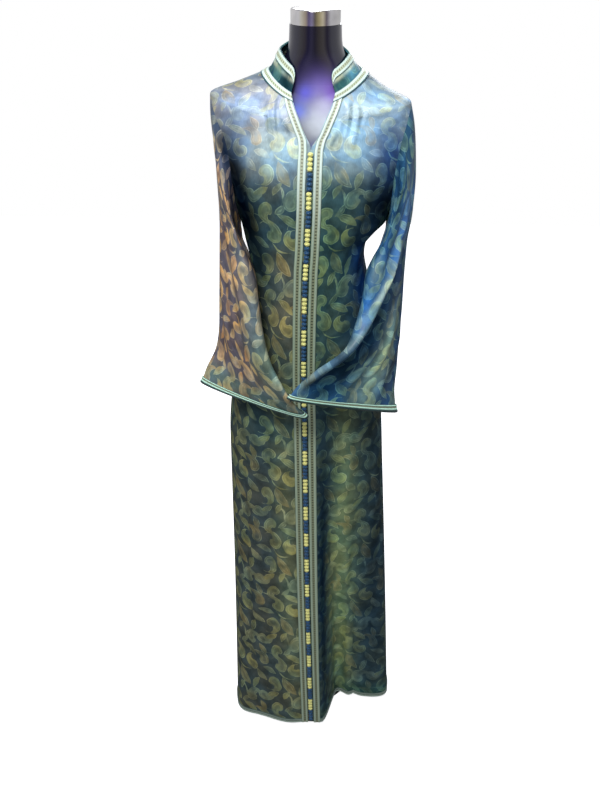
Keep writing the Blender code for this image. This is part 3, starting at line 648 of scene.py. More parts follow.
def back_cloth(levels):
    """The back panel, its columns from the right side seam to the left one.

    Its flat coordinates grow to the right as seen from outside, as in front.
    """
    rows = []
    for level in levels:
        start = 90.0 + ARMHOLE_BACK * armhole_cut(level)
        line = []
        for step in range(BACK_COLUMNS + 1):
            place = 2.0 * step / BACK_COLUMNS - 1.0
            side = 1 if place > 0.0 else -1
            line.append(body_point(side, 180.0 - (180.0 - start) * abs(place), level))
        rows.append(line)
    cloth = Cloth(rows, -1)
    middle = BACK_COLUMNS // 2
    across = distances(cloth.points, 1)
    across = across - across[:, middle : middle + 1]
    up = HEM + distances(cloth.points[:, middle : middle + 1], 0)
    flat = np.stack([across, np.broadcast_to(up, across.shape)], axis=2)
    cloth.flat = relax(cloth.points, flat, PANEL_ROUNDS)
    cloth.flat[..., 0] *= -1.0
    return cloth


def sleeve_cloth(side):
    """A sleeve as a closed tube of rings from the armhole to the cuff."""
    angles = [-90.0 + 360.0 * j / SLEEVE_ANGLES for j in range(SLEEVE_ANGLES)]
    trim = 1.0 - CUFF_TRIM_SHARE
    shares = [trim * i / SLEEVE_RINGS for i in range(SLEEVE_RINGS)]
    shares += [trim + CUFF_TRIM_SHARE * i / CUFF_ROWS for i in range(CUFF_ROWS + 1)]
    rows = [[sleeve_point(side, along, angle) for angle in angles] for along in shares]
    cloth = Cloth(rows, -side, closed=True)
    loop = np.concatenate([cloth.points, cloth.points[:, :1]], axis=1)
    across = distances(loop, 1)
    across = across - across[:, SLEEVE_ANGLES // 2][:, None]
    down = distances(loop, 0)
    cloth.flat = relax(loop, np.stack([across, down[-1] - down], axis=2), SLEEVE_ROUNDS)
    return cloth


# Creases of a cloth: a soft ridge, or a trough where height is negative, on
# a line between two places of its flat coordinates, bowed sideways by bend.
Crease = namedtuple("Crease", "u v to_u to_v bend width height")


def crease(cloth, millimetres, hold):
    """Raises the creases on a cloth, except where hold is 0."""
    columns = cloth.points.shape[1]
    u, v = np.moveaxis(cloth.flat[:, :columns], 2, 0)
    lift = np.zeros_like(u)
    for row in millimetres:
        line = Crease(*[value / 1000.0 for value in row])
        du = line.to_u - line.u
        dv = line.to_v - line.v
        length = sqrt(du * du + dv * dv)
        t = ((u - line.u) * du + (v - line.v) * dv) / length ** 2
        away = ((u - line.u) * dv - (v - line.v) * du) / length
        inside = np.clip(t, 0.0, 1.0)
        away = away - line.bend * 4.0 * inside * (1.0 - inside)
        fade = smoothstep((t + CREASE_PAST) / CREASE_FADE)
        fade = fade * smoothstep((1.0 + CREASE_PAST - t) / CREASE_FADE)
        lift += line.height * np.exp(-((away / line.width) ** 2)) * fade
    cloth.points += cloth.normals * (lift * hold)[..., None]
    cloth.find_normals()


# Colours of a cloth: an oval zone in its flat coordinates, turned in degrees,
# with the colours that the ground and the motifs have in its middle. Besides
# the satin's own shot colours, the zones hold painted shade in folds and
# beneath the sleeves, and painted sheen and highlights on the chest,
# shoulders and fold crests.
Zone = namedtuple("Zone", "u v half_u half_v turn share ground motif")


def linear(tone):
    """A display colour of 0 to 255 as linear light."""
    value = np.array(tone, dtype=float) / 255.0
    return np.where(value <= 0.04045, value / 12.92, ((value + 0.055) / 1.055) ** 2.4)


def colours_with_painted_light(cloth, zones):
    """The ground and motif colours of each point, painted shade and sheen included, for a table of
    zones.
    """
    columns = cloth.points.shape[1]
    u, v = np.moveaxis(cloth.flat[:, :columns], 2, 0)
    colours = [np.zeros(u.shape + (3,)) for _ in range(2)]
    for row in zones:
        zone = Zone(*[value / 1000.0 for value in row[:4]], *row[4:])
        turn = radians(zone.turn)
        du = (u - zone.u) * cos(turn) + (v - zone.v) * sin(turn)
        dv = (v - zone.v) * cos(turn) - (u - zone.u) * sin(turn)
        share = zone.share * np.exp(-((du / zone.half_u) ** 2) - (dv / zone.half_v) ** 2)
        for colour, tone in zip(colours, (zone.ground, zone.motif)):
            colour += (linear(tone) - colour) * share[..., None]
    return {"ground": colours[0], "motif": colours[1]}


def add_mesh(name, verts, faces, material, flat=None, colours=None, sharp=50.0):
    """A smooth mesh object from arrays, with its UVs and point colours."""
    mesh = bpy.data.meshes.new(name)
    mesh.from_pydata(verts.tolist(), [], faces)
    if flat is not None:
        layer = mesh.uv_layers.new(name="flat")
        layer.data.foreach_set("uv", np.asarray(flat, dtype=np.float32).ravel())
    for key, values in (colours or {}).items():
        attribute = mesh.color_attributes.new(name=key, type="FLOAT_COLOR", domain="POINT")
        full = np.ones((len(values), 4), dtype=np.float32)
        full[:, :3] = values
        attribute.data.foreach_set("color", full.ravel())
    mesh.shade_smooth()
    mesh.set_sharp_from_angle(angle=radians(sharp))
    mesh.materials.append(material)
    mesh.validate()
    piece = bpy.data.objects.new(name, mesh)
    bpy.context.scene.collection.objects.link(piece)
    return piece


def wall(name, cloth, outer, inner, material, colours=None, profile=None):
    """A closed wall between two distances from a cloth's grid of points.

    profile adds heights to the outer side, for each column, or for each row
    where it is one column.
    """
    rows, columns = cloth.points.shape[:2]
    rise = np.full((rows, columns, 1), float(outer))
    if profile is not None:
        rise = rise + profile[..., None]
    outside = cloth.points + cloth.normals * rise
    inside = cloth.points + cloth.normals * inner
    verts = np.concatenate([outside.reshape(-1, 3), inside.reshape(-1, 3)])
    spans = columns if cloth.closed else columns - 1
    if cloth.closed and cloth.flat.shape[1] == columns:
        cloth.flat = np.concatenate([cloth.flat, cloth.flat[:, :1]], axis=1)
    flat_columns = cloth.flat.shape[1]

    def quads(i, j, *corners):
        """Faces from corners as steps of row, column and layer, and their flat places."""
        corners_at = []
        places_at = []
        for down, along, layer in corners:
            corners_at.append((i + down) * columns + (j + along) % columns + layer * rows * columns)
            places_at.append((i + down) * flat_columns + j + along)
        return np.stack(corners_at, axis=1), np.stack(places_at, axis=1)

    i, j = [grid.ravel() for grid in np.mgrid[0 : rows - 1, 0:spans]]
    k = np.arange(spans)
    made = [
        quads(i, j, (0, 0, 0), (0, 1, 0), (1, 1, 0), (1, 0, 0)),
        quads(i, j, (0, 0, 1), (1, 0, 1), (1, 1, 1), (0, 1, 1)),
        quads(0, k, (0, 1, 0), (0, 0, 0), (0, 0, 1), (0, 1, 1)),
        quads(rows - 1, k, (0, 0, 0), (0, 1, 0), (0, 1, 1), (0, 0, 1)),
    ]
    if not cloth.closed:
        m = np.arange(rows - 1)
        made.append(quads(m, 0, (0, 0, 0), (1, 0, 0), (1, 0, 1), (0, 0, 1)))
        made.append(quads(m, columns - 1, (1, 0, 0), (0, 0, 0), (0, 0, 1), (1, 0, 1)))
    faces, places = [np.concatenate(grids) for grids in zip(*made)]
    if cloth.outward < 0:
        faces = faces[:, ::-1]
        places = places[:, ::-1]
    flat = cloth.flat.reshape(-1, 2)[places.ravel()]
    both = {}
    for key, values in (colours or {}).items():
        both[key] = np.tile(values.reshape(-1, 3), (2, 1))
    return add_mesh(name, verts, faces.tolist(), material, flat, both)


class Graph:
    """Short calls for building a node tree, of a material where one is given."""

    def __init__(self, tree, material=None):
        self.tree = tree
        self.material = material
        tree.nodes.clear()

    def feed(self, socket, value):
        if isinstance(value, bpy.types.NodeSocket):
            self.tree.links.new(value, socket)
        elif socket.type == "RGBA":
            socket.default_value = (*value, 1.0)
        else:
            socket.default_value = value

    def node(self, kind, inputs=None, **settings):
        made = self.tree.nodes.new("ShaderNode" + kind)
        for key, value in settings.items():
            setattr(made, key, value)
        for key, value in (inputs or {}).items():
            self.feed(made.inputs[key], value)
        return made

    def math(self, operation, *values, clamp=False):
        inputs = dict(enumerate(values))
        return self.node("Math", inputs, operation=operation, use_clamp=clamp).outputs[0]

    def times(self, first, second):
        return self.math("MULTIPLY", first, second)

    def minus(self, first, second, clamp=False):
        return self.math("SUBTRACT", first, second, clamp=clamp)

    def vector(self, operation, *values):
        made = self.node("VectorMath", dict(enumerate(values)), operation=operation)
        return made.outputs["Value" if operation == "LENGTH" else "Vector"]

    def split(self, vector):
        return self.node("SeparateXYZ", {0: vector}).outputs

    def mix(self, share, first, second, blend="MIX"):
        inputs = {0: share, 6: first, 7: second}
        return self.node("Mix", inputs, data_type="RGBA", blend_type=blend).outputs[2]

    def tint(self, colour, other):
        return self.mix(1.0, colour, other, "MULTIPLY")

    def shade(self, colour, value):
        """A colour times a number."""
        grey = self.node("CombineColor", dict.fromkeys(range(3), value))
        return self.tint(colour, grey.outputs[0])

    def ease(self, value, low, high, out_low=0.0, out_high=1.0):
        """A smooth ramp of a value between two limits."""
        inputs = dict(enumerate((value, low, high, out_low, out_high)))
        return self.node("MapRange", inputs, interpolation_type="SMOOTHSTEP").outputs[0]

    def ramp(self, value, stops):
        """Colours at places from 0 to 1."""
        made = self.node("ValToRGB", {0: value})
        elements = made.color_ramp.elements
        for place, tone in stops[1:-1]:
            elements.new(place).color = (*tone, 1.0)
        for element, (place, tone) in ((elements[0], stops[0]), (elements[-1], stops[-1])):
            element.position = place
            element.color = (*tone, 1.0)
        return made.outputs[0]

    def colour(self, name):
        return self.node("VertexColor", layer_name=name).outputs[0]

    def brightness(self, colour):
        return self.node("RGBToBW", {0: colour}).outputs[0]

    def flat(self):
        return self.node("UVMap", uv_map="flat").outputs[0]

    def clouds(self, vector, noise, limits):
        """Noise, given by scale and detail, as a smooth ramp."""
        return self.ease(self.noise(vector, *noise), *limits)

    def noise(self, vector, scale, detail, stretch=None):
        if stretch is not None:
            vector = self.node("Mapping", {0: vector, 3: stretch}).outputs[0]
        inputs = {"Vector": vector, "Scale": scale, "Detail": detail}
        return self.node("TexNoise", inputs).outputs[0]

    def warped(self, point, flat, scale, detail, reach):
        """A point moved about by noise."""
        noise = self.node("TexNoise", {"Vector": flat, "Scale": scale, "Detail": detail})
        return self.vector("MULTIPLY_ADD", noise.outputs[1], (reach, reach, 0.0), point)

    def bump(self, height, strength, distance):
        inputs = {"Strength": strength, "Distance": distance, "Height": height}
        return self.node("Bump", inputs).outputs[0]

    def finish(self, **inputs):
        """The surface shader and the output, and the material that they are in."""
        named = {key.replace("_", " "): value for key, value in inputs.items()}
        shader = self.node("BsdfPrincipled", named)
        self.node("OutputMaterial", {0: shader.outputs[0]})
        return self.material


def new_graph(name):
    """The node tree of a new material."""
    material = bpy.data.materials.new(name)
    material.use_nodes = True
    return Graph(material.node_tree, material)


# The repeat of the jacquard, in metres.  A paisley is a round head with a
# tail that curls round a centre beside it: x and y place its head, turn is
# the way that its tail leaves it, in degrees from straight up, side is the
# way that the tail curls, and sweep how far.  A leaf is a pointed oval, its
# middle at x and y, with a bow to one side.
TILE = (0.115, 0.180)
Paisley = namedtuple("Paisley", "tint x y turn side head curl sweep")
PAISLEYS = [
    Paisley("gold", 0.099, 0.010, 84, 1, 0.0135, 0.0150, 150),
    Paisley("olive", 0.042, 0.152, 236, 1, 0.0140, 0.0160, 140),
    Paisley("olive", 0.050, 0.076, 118, -1, 0.0130, 0.0140, 160),
    Paisley("grey", 0.097, 0.093, 14, 1, 0.0145, 0.0150, 165),
    Paisley("olive", 0.060, 0.024, 322, -1, 0.0140, 0.0160, 150),
    Paisley("brown", 0.016, 0.034, 352, -1, 0.0120, 0.0220, 120),
    Paisley("grey", 0.014, 0.104, 205, -1, 0.0115, 0.0130, 150),
]
Leaf = namedtuple("Leaf", "tint x y turn length half bow")
LEAVES = [
    Leaf("brown", 0.079, 0.148, 212, 0.058, 0.0105, 0.004),
    Leaf("olive", 0.090, 0.056, 236, 0.046, 0.0080, -0.003),
    Leaf("grey", 0.010, 0.166, 222, 0.040, 0.0076, 0.003),
    Leaf("gold", 0.036, 0.112, 300, 0.034, 0.0070, 0.002),
    Leaf("olive", 0.110, 0.136, 340, 0.040, 0.0074, -0.002),
    Leaf("grey", 0.030, 0.005, 70, 0.038, 0.0072, 0.003),
    Leaf("brown", 0.012, 0.070, 20, 0.034, 0.0066, 0.002),
    Leaf("olive", 0.070, 0.118, 330, 0.030, 0.0060, -0.002),
    Leaf("grey", 0.076, 0.079, 320, 0.028, 0.0056, 0.002),
    Leaf("grey", 0.074, 0.110, 20, 0.040, 0.0016, 0.007),
    Leaf("gold", 0.072, 0.000, 62, 0.040, 0.0014, -0.007),
    Leaf("grey", 0.040, 0.050, 60, 0.046, 0.0014, 0.008),
]
TINTS = {
    "grey": (0.92, 0.96, 0.98),
    "olive": (1.00, 1.00, 0.84),
    "brown": (0.92, 0.78, 0.68),
    "gold": (1.14, 1.08, 0.80),
}


def motif_group(name, sizes):
    """A node group for a motif, with a point of the cloth seen from its middle."""
    tree = bpy.data.node_groups.new(name, "ShaderNodeTree")
    graph = Graph(tree)
    kinds = {"Point": "Vector", "Place": "Vector", "Turn": "Float", **dict.fromkeys(sizes, "Float")}
    for socket, kind in kinds.items():
        tree.interface.new_socket(socket, in_out="INPUT", socket_type="NodeSocket" + kind)
    tree.interface.new_socket("Depth", in_out="OUTPUT", socket_type="NodeSocketFloat")
    given = tree.nodes.new("NodeGroupInput").outputs
    offset = graph.vector("SUBTRACT", given["Point"], given["Place"])
    high = (TILE[0] / 2, TILE[1] / 2, 1.0)
    low = (-TILE[0] / 2, -TILE[1] / 2, -1.0)
    wrapped = graph.vector("WRAP", offset, high, low)
    inputs = {"Vector": wrapped, "Angle": given["Turn"]}
    turned = graph.node("VectorRotate", inputs, rotation_type="Z_AXIS")
    return graph, given, turned.outputs[0]


def closed_group(graph, depth):
    """A motif's node group, once its depth is known."""
    out = graph.tree.nodes.new("NodeGroupOutput")
    graph.feed(out.inputs["Depth"], depth)
    return graph.tree


def paisley_group():
    """How deep a point lies inside a paisley, in metres."""
    graph, given, point = motif_group("paisley", ("Side", "Head", "Curl", "Sweep"))
    parts = graph.split(point)
    inward = graph.minus(given["Curl"], graph.times(parts[0], given["Side"]))
    turn = graph.math("ARCTAN2", parts[1], inward)
    arm = graph.node("CombineXYZ", {0: inward, 1: parts[1]}).outputs[0]
    from_arc = graph.math("ABSOLUTE", graph.minus(graph.vector("LENGTH", arm), given["Curl"]))
    from_head = graph.vector("LENGTH", point)
    tail = graph.math("GREATER_THAN", turn, 0.0)
    away = graph.math("MULTIPLY_ADD", tail, graph.minus(from_arc, from_head), from_head)
    left = graph.minus(1.0, graph.math("DIVIDE", turn, given["Sweep"]), clamp=True)
    width = graph.times(given["Head"], graph.math("POWER", left, 0.8))
    return closed_group(graph, graph.minus(width, away))


def leaf_group():
    """How deep a point lies inside a leaf, in metres."""
    graph, given, point = motif_group("leaf", ("Length", "Half", "Bow"))
    parts = graph.split(point)
    along = graph.math("DIVIDE", parts[1], graph.times(given["Length"], 0.5))
    body = graph.minus(1.0, graph.times(along, along))
    away = graph.math("ABSOLUTE", graph.minus(parts[0], graph.times(body, given["Bow"])))
    return closed_group(graph, graph.minus(graph.times(body, given["Half"]), away))


def placed_motifs(graph, point):
    """The depth inside the nearest motif of each tint."""
    deepest = {}
    for table, group in ((PAISLEYS, paisley_group()), (LEAVES, leaf_group())):
        for motif in table:
            inputs = {"Point": point, "Place": (motif.x, motif.y, 0.0), "Turn": radians(-motif.turn)}
            for size in motif._fields[4:]:
                value = getattr(motif, size)
                inputs[size.title()] = radians(value) if size == "sweep" else value
            depth = graph.node("Group", inputs, node_tree=group).outputs[0]
            if motif.tint in deepest:
                depth = graph.math("MAXIMUM", depth, deepest[motif.tint])
            deepest[motif.tint] = depth
    return deepest


# The satin: noises as scale and detail, limits of the depth inside a motif
# in metres, and limits with what they become
WOBBLE = (60.0, 3.0, 0.0050)
DRIFT = (7.0, 1.0, 0.024)
FADING_NOISE = (26.0, 2.0)
FADING = (0.38, 0.56, 0.48, 1.0)
MOTIF_EDGE = (-0.0011, 0.0013)
RIM = ((-0.0010, 0.0), (0.0015, 0.0006))
INNER_LINE = ((0.0036, 0.0046), (0.0064, 0.0052))
INNER_SHARE = 0.45
HEART = (0.0066, 0.0084)
HEART_SHARE = 0.30
WORN_NOISE = (48.0, 2.0)
WORN = (0.40, 0.60)
LINE_TINT = (0.75, 0.75, 0.62)
LINE_MOST = (0.165, 0.175, 0.125)
HUE_NOISE = (16.0, 2.0)
HUE = (0.35, 0.65)
WARM = (1.12, 1.00, 0.88)
COOL = (0.88, 1.00, 1.10)
THREAD_NOISE = (900.0, 1.0, (1.0, 0.12, 1.0))
THREAD_SHADE = (0.3, 0.7, -0.08, 0.08)
PATCH_NOISE = (34.0, 4.0)
PATCH_SHADE = (0.3, 0.7, 0.72, 1.33)
MOTIF_FILL = (-0.0006, 0.0012)
FILL_RELIEF = 0.5
THREAD_RELIEF = 0.25
SATIN_BUMP = (0.35, 0.0006)
SATIN_ROUGHNESS = (0.0, 1.0, 0.40, 0.48)
SATIN_GLOSS = (0.015, 0.30, 0.0, 0.5)


def satin_material():
    """Shot satin with paisley motifs woven into it."""
    graph = new_graph("shot_satin")
    flat = graph.flat()
    point = graph.warped(graph.warped(flat, flat, *WOBBLE), flat, *DRIFT)
    # the ground and motif colours carry the zones' painted shade and painted sheen
    ground = graph.colour("ground")
    motif = graph.colour("motif")
    colour = ground
    every = None
    fading = graph.clouds(flat, FADING_NOISE, FADING)
    for tint, depth in placed_motifs(graph, point).items():
        inside = graph.times(graph.ease(depth, *MOTIF_EDGE), fading)
        colour = graph.mix(inside, colour, graph.tint(motif, TINTS[tint]))
        every = depth if every is None else graph.math("MAXIMUM", every, depth)
    # Fine lines along the motifs' rims and inside them, round hearts of the ground's colour
    rim, inner = [
        graph.times(graph.ease(every, *outer), graph.ease(every, *inner))
        for outer, inner in (RIM, INNER_LINE)
    ]
    heart = graph.times(graph.ease(every, *HEART), HEART_SHARE)
    colour = graph.mix(heart, colour, ground)
    lines = graph.math("MULTIPLY_ADD", inner, INNER_SHARE, rim)
    lines = graph.times(lines, graph.clouds(flat, WORN_NOISE, WORN))
    line = graph.mix(1.0, graph.tint(motif, LINE_TINT), LINE_MOST, "DARKEN")
    colour = graph.mix(lines, colour, line, "ADD")
    # Warm and cool patches, bright and dark ones, and threads
    hue = graph.mix(graph.clouds(flat, HUE_NOISE, HUE), WARM, COOL)
    thread = graph.noise(flat, *THREAD_NOISE)
    patch = graph.clouds(flat, PATCH_NOISE, PATCH_SHADE)
    value = graph.math("ADD", graph.ease(thread, *THREAD_SHADE), patch)
    fill = graph.ease(every, *MOTIF_FILL)
    raised = graph.times(fill, FILL_RELIEF)
    relief = graph.math("ADD", raised, graph.times(thread, THREAD_RELIEF))
    return graph.finish(
        Base_Color=graph.shade(graph.tint(colour, hue), value),
        Roughness=graph.ease(fill, *SATIN_ROUGHNESS),
        Normal=graph.bump(relief, *SATIN_BUMP),
        Specular_IOR_Level=graph.ease(graph.brightness(ground), *SATIN_GLOSS),
    )


# The braids' weave
BRAID_TWIST = 0.0024
BRAID_SLANT = 0.012
TWIST_PAINTED_SHADE = (-1.0, 1.0, 0.86, 1.08)
RUNG_EDGE = (-0.1, 0.5)
CHANNEL_EDGE = 0.7
PAINTED_SHADE_LIMITS = (0.55, 1.0)
LIT_RUNGS = 0.65
TWIST_RELIEF = 0.3
RUNG_RELIEF = 0.6
BRAID_BUMP = (0.5, 0.0007)
BRAID_ROUGHNESS = 0.5
SHEEN = 0.2


def braid_material(name, braid):
    """A woven band: u runs across it from 0 to 1 and v along it in metres."""
    graph = new_graph(name)
    parts = graph.split(graph.flat())
    tone = graph.ramp(parts[0], [(place, linear(tone)) for place, tone in braid.stops])
    wave = graph.math("SINE", graph.times(parts[1], 2.0 * pi / braid.pitch))
    middle = (braid.channel[0] + braid.channel[1]) / 2.0
    reach = (braid.channel[1] - braid.channel[0]) / 2.0
    away = graph.math("ABSOLUTE", graph.minus(parts[0], middle))
    channel = graph.ease(away, reach, reach * CHANNEL_EDGE)
    rung = graph.times(graph.ease(wave, *RUNG_EDGE), channel)
    slant = graph.math("MULTIPLY_ADD", parts[0], BRAID_SLANT, parts[1])
    twist = graph.math("SINE", graph.times(slant, 2.0 * pi / BRAID_TWIST))
    # painted shade: the braid's colour darkened lower down, where less light falls
    painted_shade = graph.colour("painted_shade")
    shares = (braid.share, LIT_RUNGS * braid.share)
    share = graph.times(rung, graph.ease(graph.brightness(painted_shade), *PAINTED_SHADE_LIMITS, *shares))
    colour = graph.tint(graph.mix(share, tone, linear(braid.rung)), painted_shade)
    relief = graph.minus(graph.times(twist, TWIST_RELIEF), graph.times(rung, RUNG_RELIEF))
    return graph.finish(
        # painted shade: the weave darker in the hollows of its twist and lighter on its crests
        Base_Color=graph.shade(colour, graph.ease(twist, *TWIST_PAINTED_SHADE)),
        Roughness=BRAID_ROUGHNESS,
        Normal=graph.bump(relief, *BRAID_BUMP),
        Sheen_Weight=SHEEN,
    )


# The cord of the knots: its windings round and along a knot, and its tones, the darker one being the
# painted shade in the grooves, also used to darken the grain at random
WINDINGS_ROUND = 3.0
WINDINGS_ALONG = 4.0
GROOVE_PAINTED_SHADE = 0.45
GRAIN_NOISE = (30.0, 2.0)
GRAIN = (0.35, 0.65, 0.0, 0.10)
SILK_BUMP = (0.4, 0.0005)
SILK_ROUGHNESS = 0.42
SILKS = {
    "yellow": ((250, 248, 156), (112, 118, 34)),
    "blue": ((24, 82, 124), (3, 20, 42)),
}


def silk_material(name, tone, dark):
    """Silk cord wound round a knot, with painted shade in its grooves."""
    graph = new_graph(name)
    flat = graph.flat()
    parts = graph.split(flat)
    along = graph.times(parts[1], 2.0 * pi * WINDINGS_ALONG)
    turn = graph.math("MULTIPLY_ADD", parts[0], 2.0 * pi * WINDINGS_ROUND, along)
    wave = graph.math("SINE", turn)
    # painted shade in the grooves between the windings
    groove_shade = graph.times(graph.ease(wave, 0.0, -1.0), GROOVE_PAINTED_SHADE)
    colour = graph.mix(groove_shade, linear(tone), linear(dark))
    return graph.finish(
        Base_Color=graph.mix(graph.clouds(flat, GRAIN_NOISE, GRAIN), colour, linear(dark)),
        Roughness=SILK_ROUGHNESS,
        Normal=graph.bump(wave, *SILK_BUMP),
        Sheen_Weight=SHEEN,
    )


# The form's lacquer, dull in the shade of the cloth and glossy above it: two
# heights, and what they become
DEEP_TONE = (0.004, 0.004, 0.012)
DEEP_NOISE = (14.0, 3.0)
DEEP = (0.35, 0.7, 0.0, 0.3)
SKIN_NOISE = (400.0, 2.0)
SKIN_BUMP = (0.06, 0.0003)
GLOSS_ROUGHNESS = (1.50, 1.56, 0.50, 0.14)
GLOSS_LEVEL = (1.51, 1.56, 0.08, 0.50)
GLOSS_COAT = (1.53, 1.57, 0.0, 0.5)
COAT_ROUGHNESS = 0.08


def gloss_material():
    """Glossy lacquer of the form, with painted reflections in soft zones of its colour."""
    graph = new_graph("lacquer")
    place = graph.node("TexCoord").outputs["Object"]
    height = graph.split(place)[2]
    deep = graph.clouds(place, DEEP_NOISE, DEEP)
    # the ground colour holds the form's painted reflections and highlights
    return graph.finish(
        Base_Color=graph.mix(deep, graph.colour("ground"), DEEP_TONE),
        Roughness=graph.ease(height, *GLOSS_ROUGHNESS),
        Normal=graph.bump(graph.noise(place, *SKIN_NOISE), *SKIN_BUMP),
        Specular_IOR_Level=graph.ease(height, *GLOSS_LEVEL),
        Coat_Weight=graph.ease(height, *GLOSS_COAT),
        Coat_Roughness=COAT_ROUGHNESS,
    )


# The metals: tone, roughness and how much the lines are drawn out
CHROME = ((226, 224, 220), 0.13, 1.0)
STEEL = ((150, 150, 152), 0.32, 8.0)
METAL_LINES = (120.0, 2.0)
METAL_CLOUDS = (20.0, 2.0)
METAL_LIMITS = (0.3, 0.7)
METAL_DARK = 0.8
METAL_ROUGHNESS = (0.8, 1.3)
METAL_BUMP = (0.08, 0.0002)


def metal_material(name, tone, rough, drawn):
    """Polished or brushed metal with fine lines round it."""
    graph = new_graph(name)
    place = graph.node("TexCoord").outputs["Object"]
    lines = graph.noise(place, *METAL_LINES, (1.0, 1.0, drawn))
    dark = [METAL_DARK * c for c in tone]
    share = graph.clouds(place, METAL_CLOUDS, METAL_LIMITS)
    limits = METAL_LIMITS + tuple(rough * part for part in METAL_ROUGHNESS)
    return graph.finish(
        Base_Color=graph.mix(share, linear(tone), linear(dark)),
        Metallic=1.0,
        Roughness=graph.ease(lines, *limits),
        Normal=graph.bump(lines, *METAL_BUMP),
    )


def build_camera():
    """The camera at the photo's place."""
    yaw, pitch, roll = [radians(angle) for angle in (CAMERA_YAW, CAMERA_PITCH, CAMERA_ROLL)]
    ahead = Vector((sin(yaw) * cos(pitch), cos(yaw) * cos(pitch), -sin(pitch)))
    right = Vector((cos(yaw), -sin(yaw), 0.0))
    up = right.cross(ahead)
    right_rolled = right * cos(roll) + up * sin(roll)
    up_rolled = up * cos(roll) - right * sin(roll)
    turn = Matrix((right_rolled, up_rolled, -ahead)).transposed().to_4x4()
    data = bpy.data.cameras.new("camera")
    data.lens = CAMERA_LENS
    data.sensor_width = SENSOR
    camera = bpy.data.objects.new("camera", data)
    camera.matrix_world = Matrix.Translation(CAMERA_PLACE) @ turn
    bpy.context.scene.collection.objects.link(camera)
    bpy.context.scene.camera = camera


def area_light(lamp):
    """A soft round light that looks at a point."""
    data = bpy.data.lights.new(lamp.name, "AREA")
    data.shape = "DISK"
    data.size = lamp.size
    data.energy = lamp.power
    data.color = lamp.colour
    light = bpy.data.objects.new(lamp.name, data)
    light.location = lamp.place
    light.rotation_mode = "QUATERNION"
    light.rotation_quaternion = (Vector(lamp.aim) - Vector(lamp.place)).to_track_quat("-Z", "Y")
    bpy.context.scene.collection.objects.link(light)


def grey(level):
    return (level, level, level)


def build_room():
    """A pale floor, a bright surrounding and soft lights."""
    corners = [(-1, -1), (1, -1), (1, 1), (-1, 1)]
    verts = np.array([(x * FLOOR_HALF, y * FLOOR_HALF, 0.0) for x, y in corners])
    graph = new_graph("floor")
    grain = graph.clouds(graph.node("TexCoord").outputs["Object"], FLOOR_NOISE, FLOOR_LIMITS)
    rays = graph.node("LightPath").outputs
    seen = rays["Is Camera Ray"]
    unseen = graph.mix(rays["Is Glossy Ray"], *map(grey, FLOOR_UNSEEN))
    material = graph.finish(
        Base_Color=graph.mix(seen, unseen, graph.mix(grain, *map(grey, FLOOR_PALE))),
        Roughness=FLOOR_ROUGHNESS,
        Emission_Color=grey(1.0),
        Emission_Strength=graph.times(seen, FLOOR_GLOW),
        Specular_IOR_Level=FLOOR_LEVEL,
    )
    floor = add_mesh("floor", verts, [[0, 1, 2, 3]], material)

    world = bpy.data.worlds.new("surround")
    world.use_nodes = True
    graph = Graph(world.node_tree)
    parts = graph.split(graph.node("TexCoord").outputs["Generated"])
    glow = graph.mix(graph.ease(parts[2], *SURROUND_LIMITS), *SURROUND)
    # The bearing round the form: 0.5 towards the front and more to its left
    turn = graph.math("ARCTAN2", parts[0], graph.times(parts[1], -1.0))
    bearing = graph.math("MULTIPLY_ADD", turn, 0.5 / pi, 0.5)
    rays = graph.node("LightPath").outputs
    level = graph.ease(graph.math("ABSOLUTE", parts[2]), *PANEL_LIMITS)
    shining = graph.times(rays["Is Glossy Ray"], level)
    glow = graph.mix(shining, glow, graph.ramp(bearing, PANELS))
    colour = graph.mix(rays["Is Camera Ray"], glow, grey(1.0))
    surround = graph.node("Background", {0: colour, 1: 1.0})
    graph.node("OutputWorld", {0: surround.outputs[0]})
    bpy.context.scene.world = world
    for lamp in LAMPS:
        area_light(lamp)
    view = bpy.context.scene.view_settings
    view.view_transform = "Standard"
    view.look = "None"
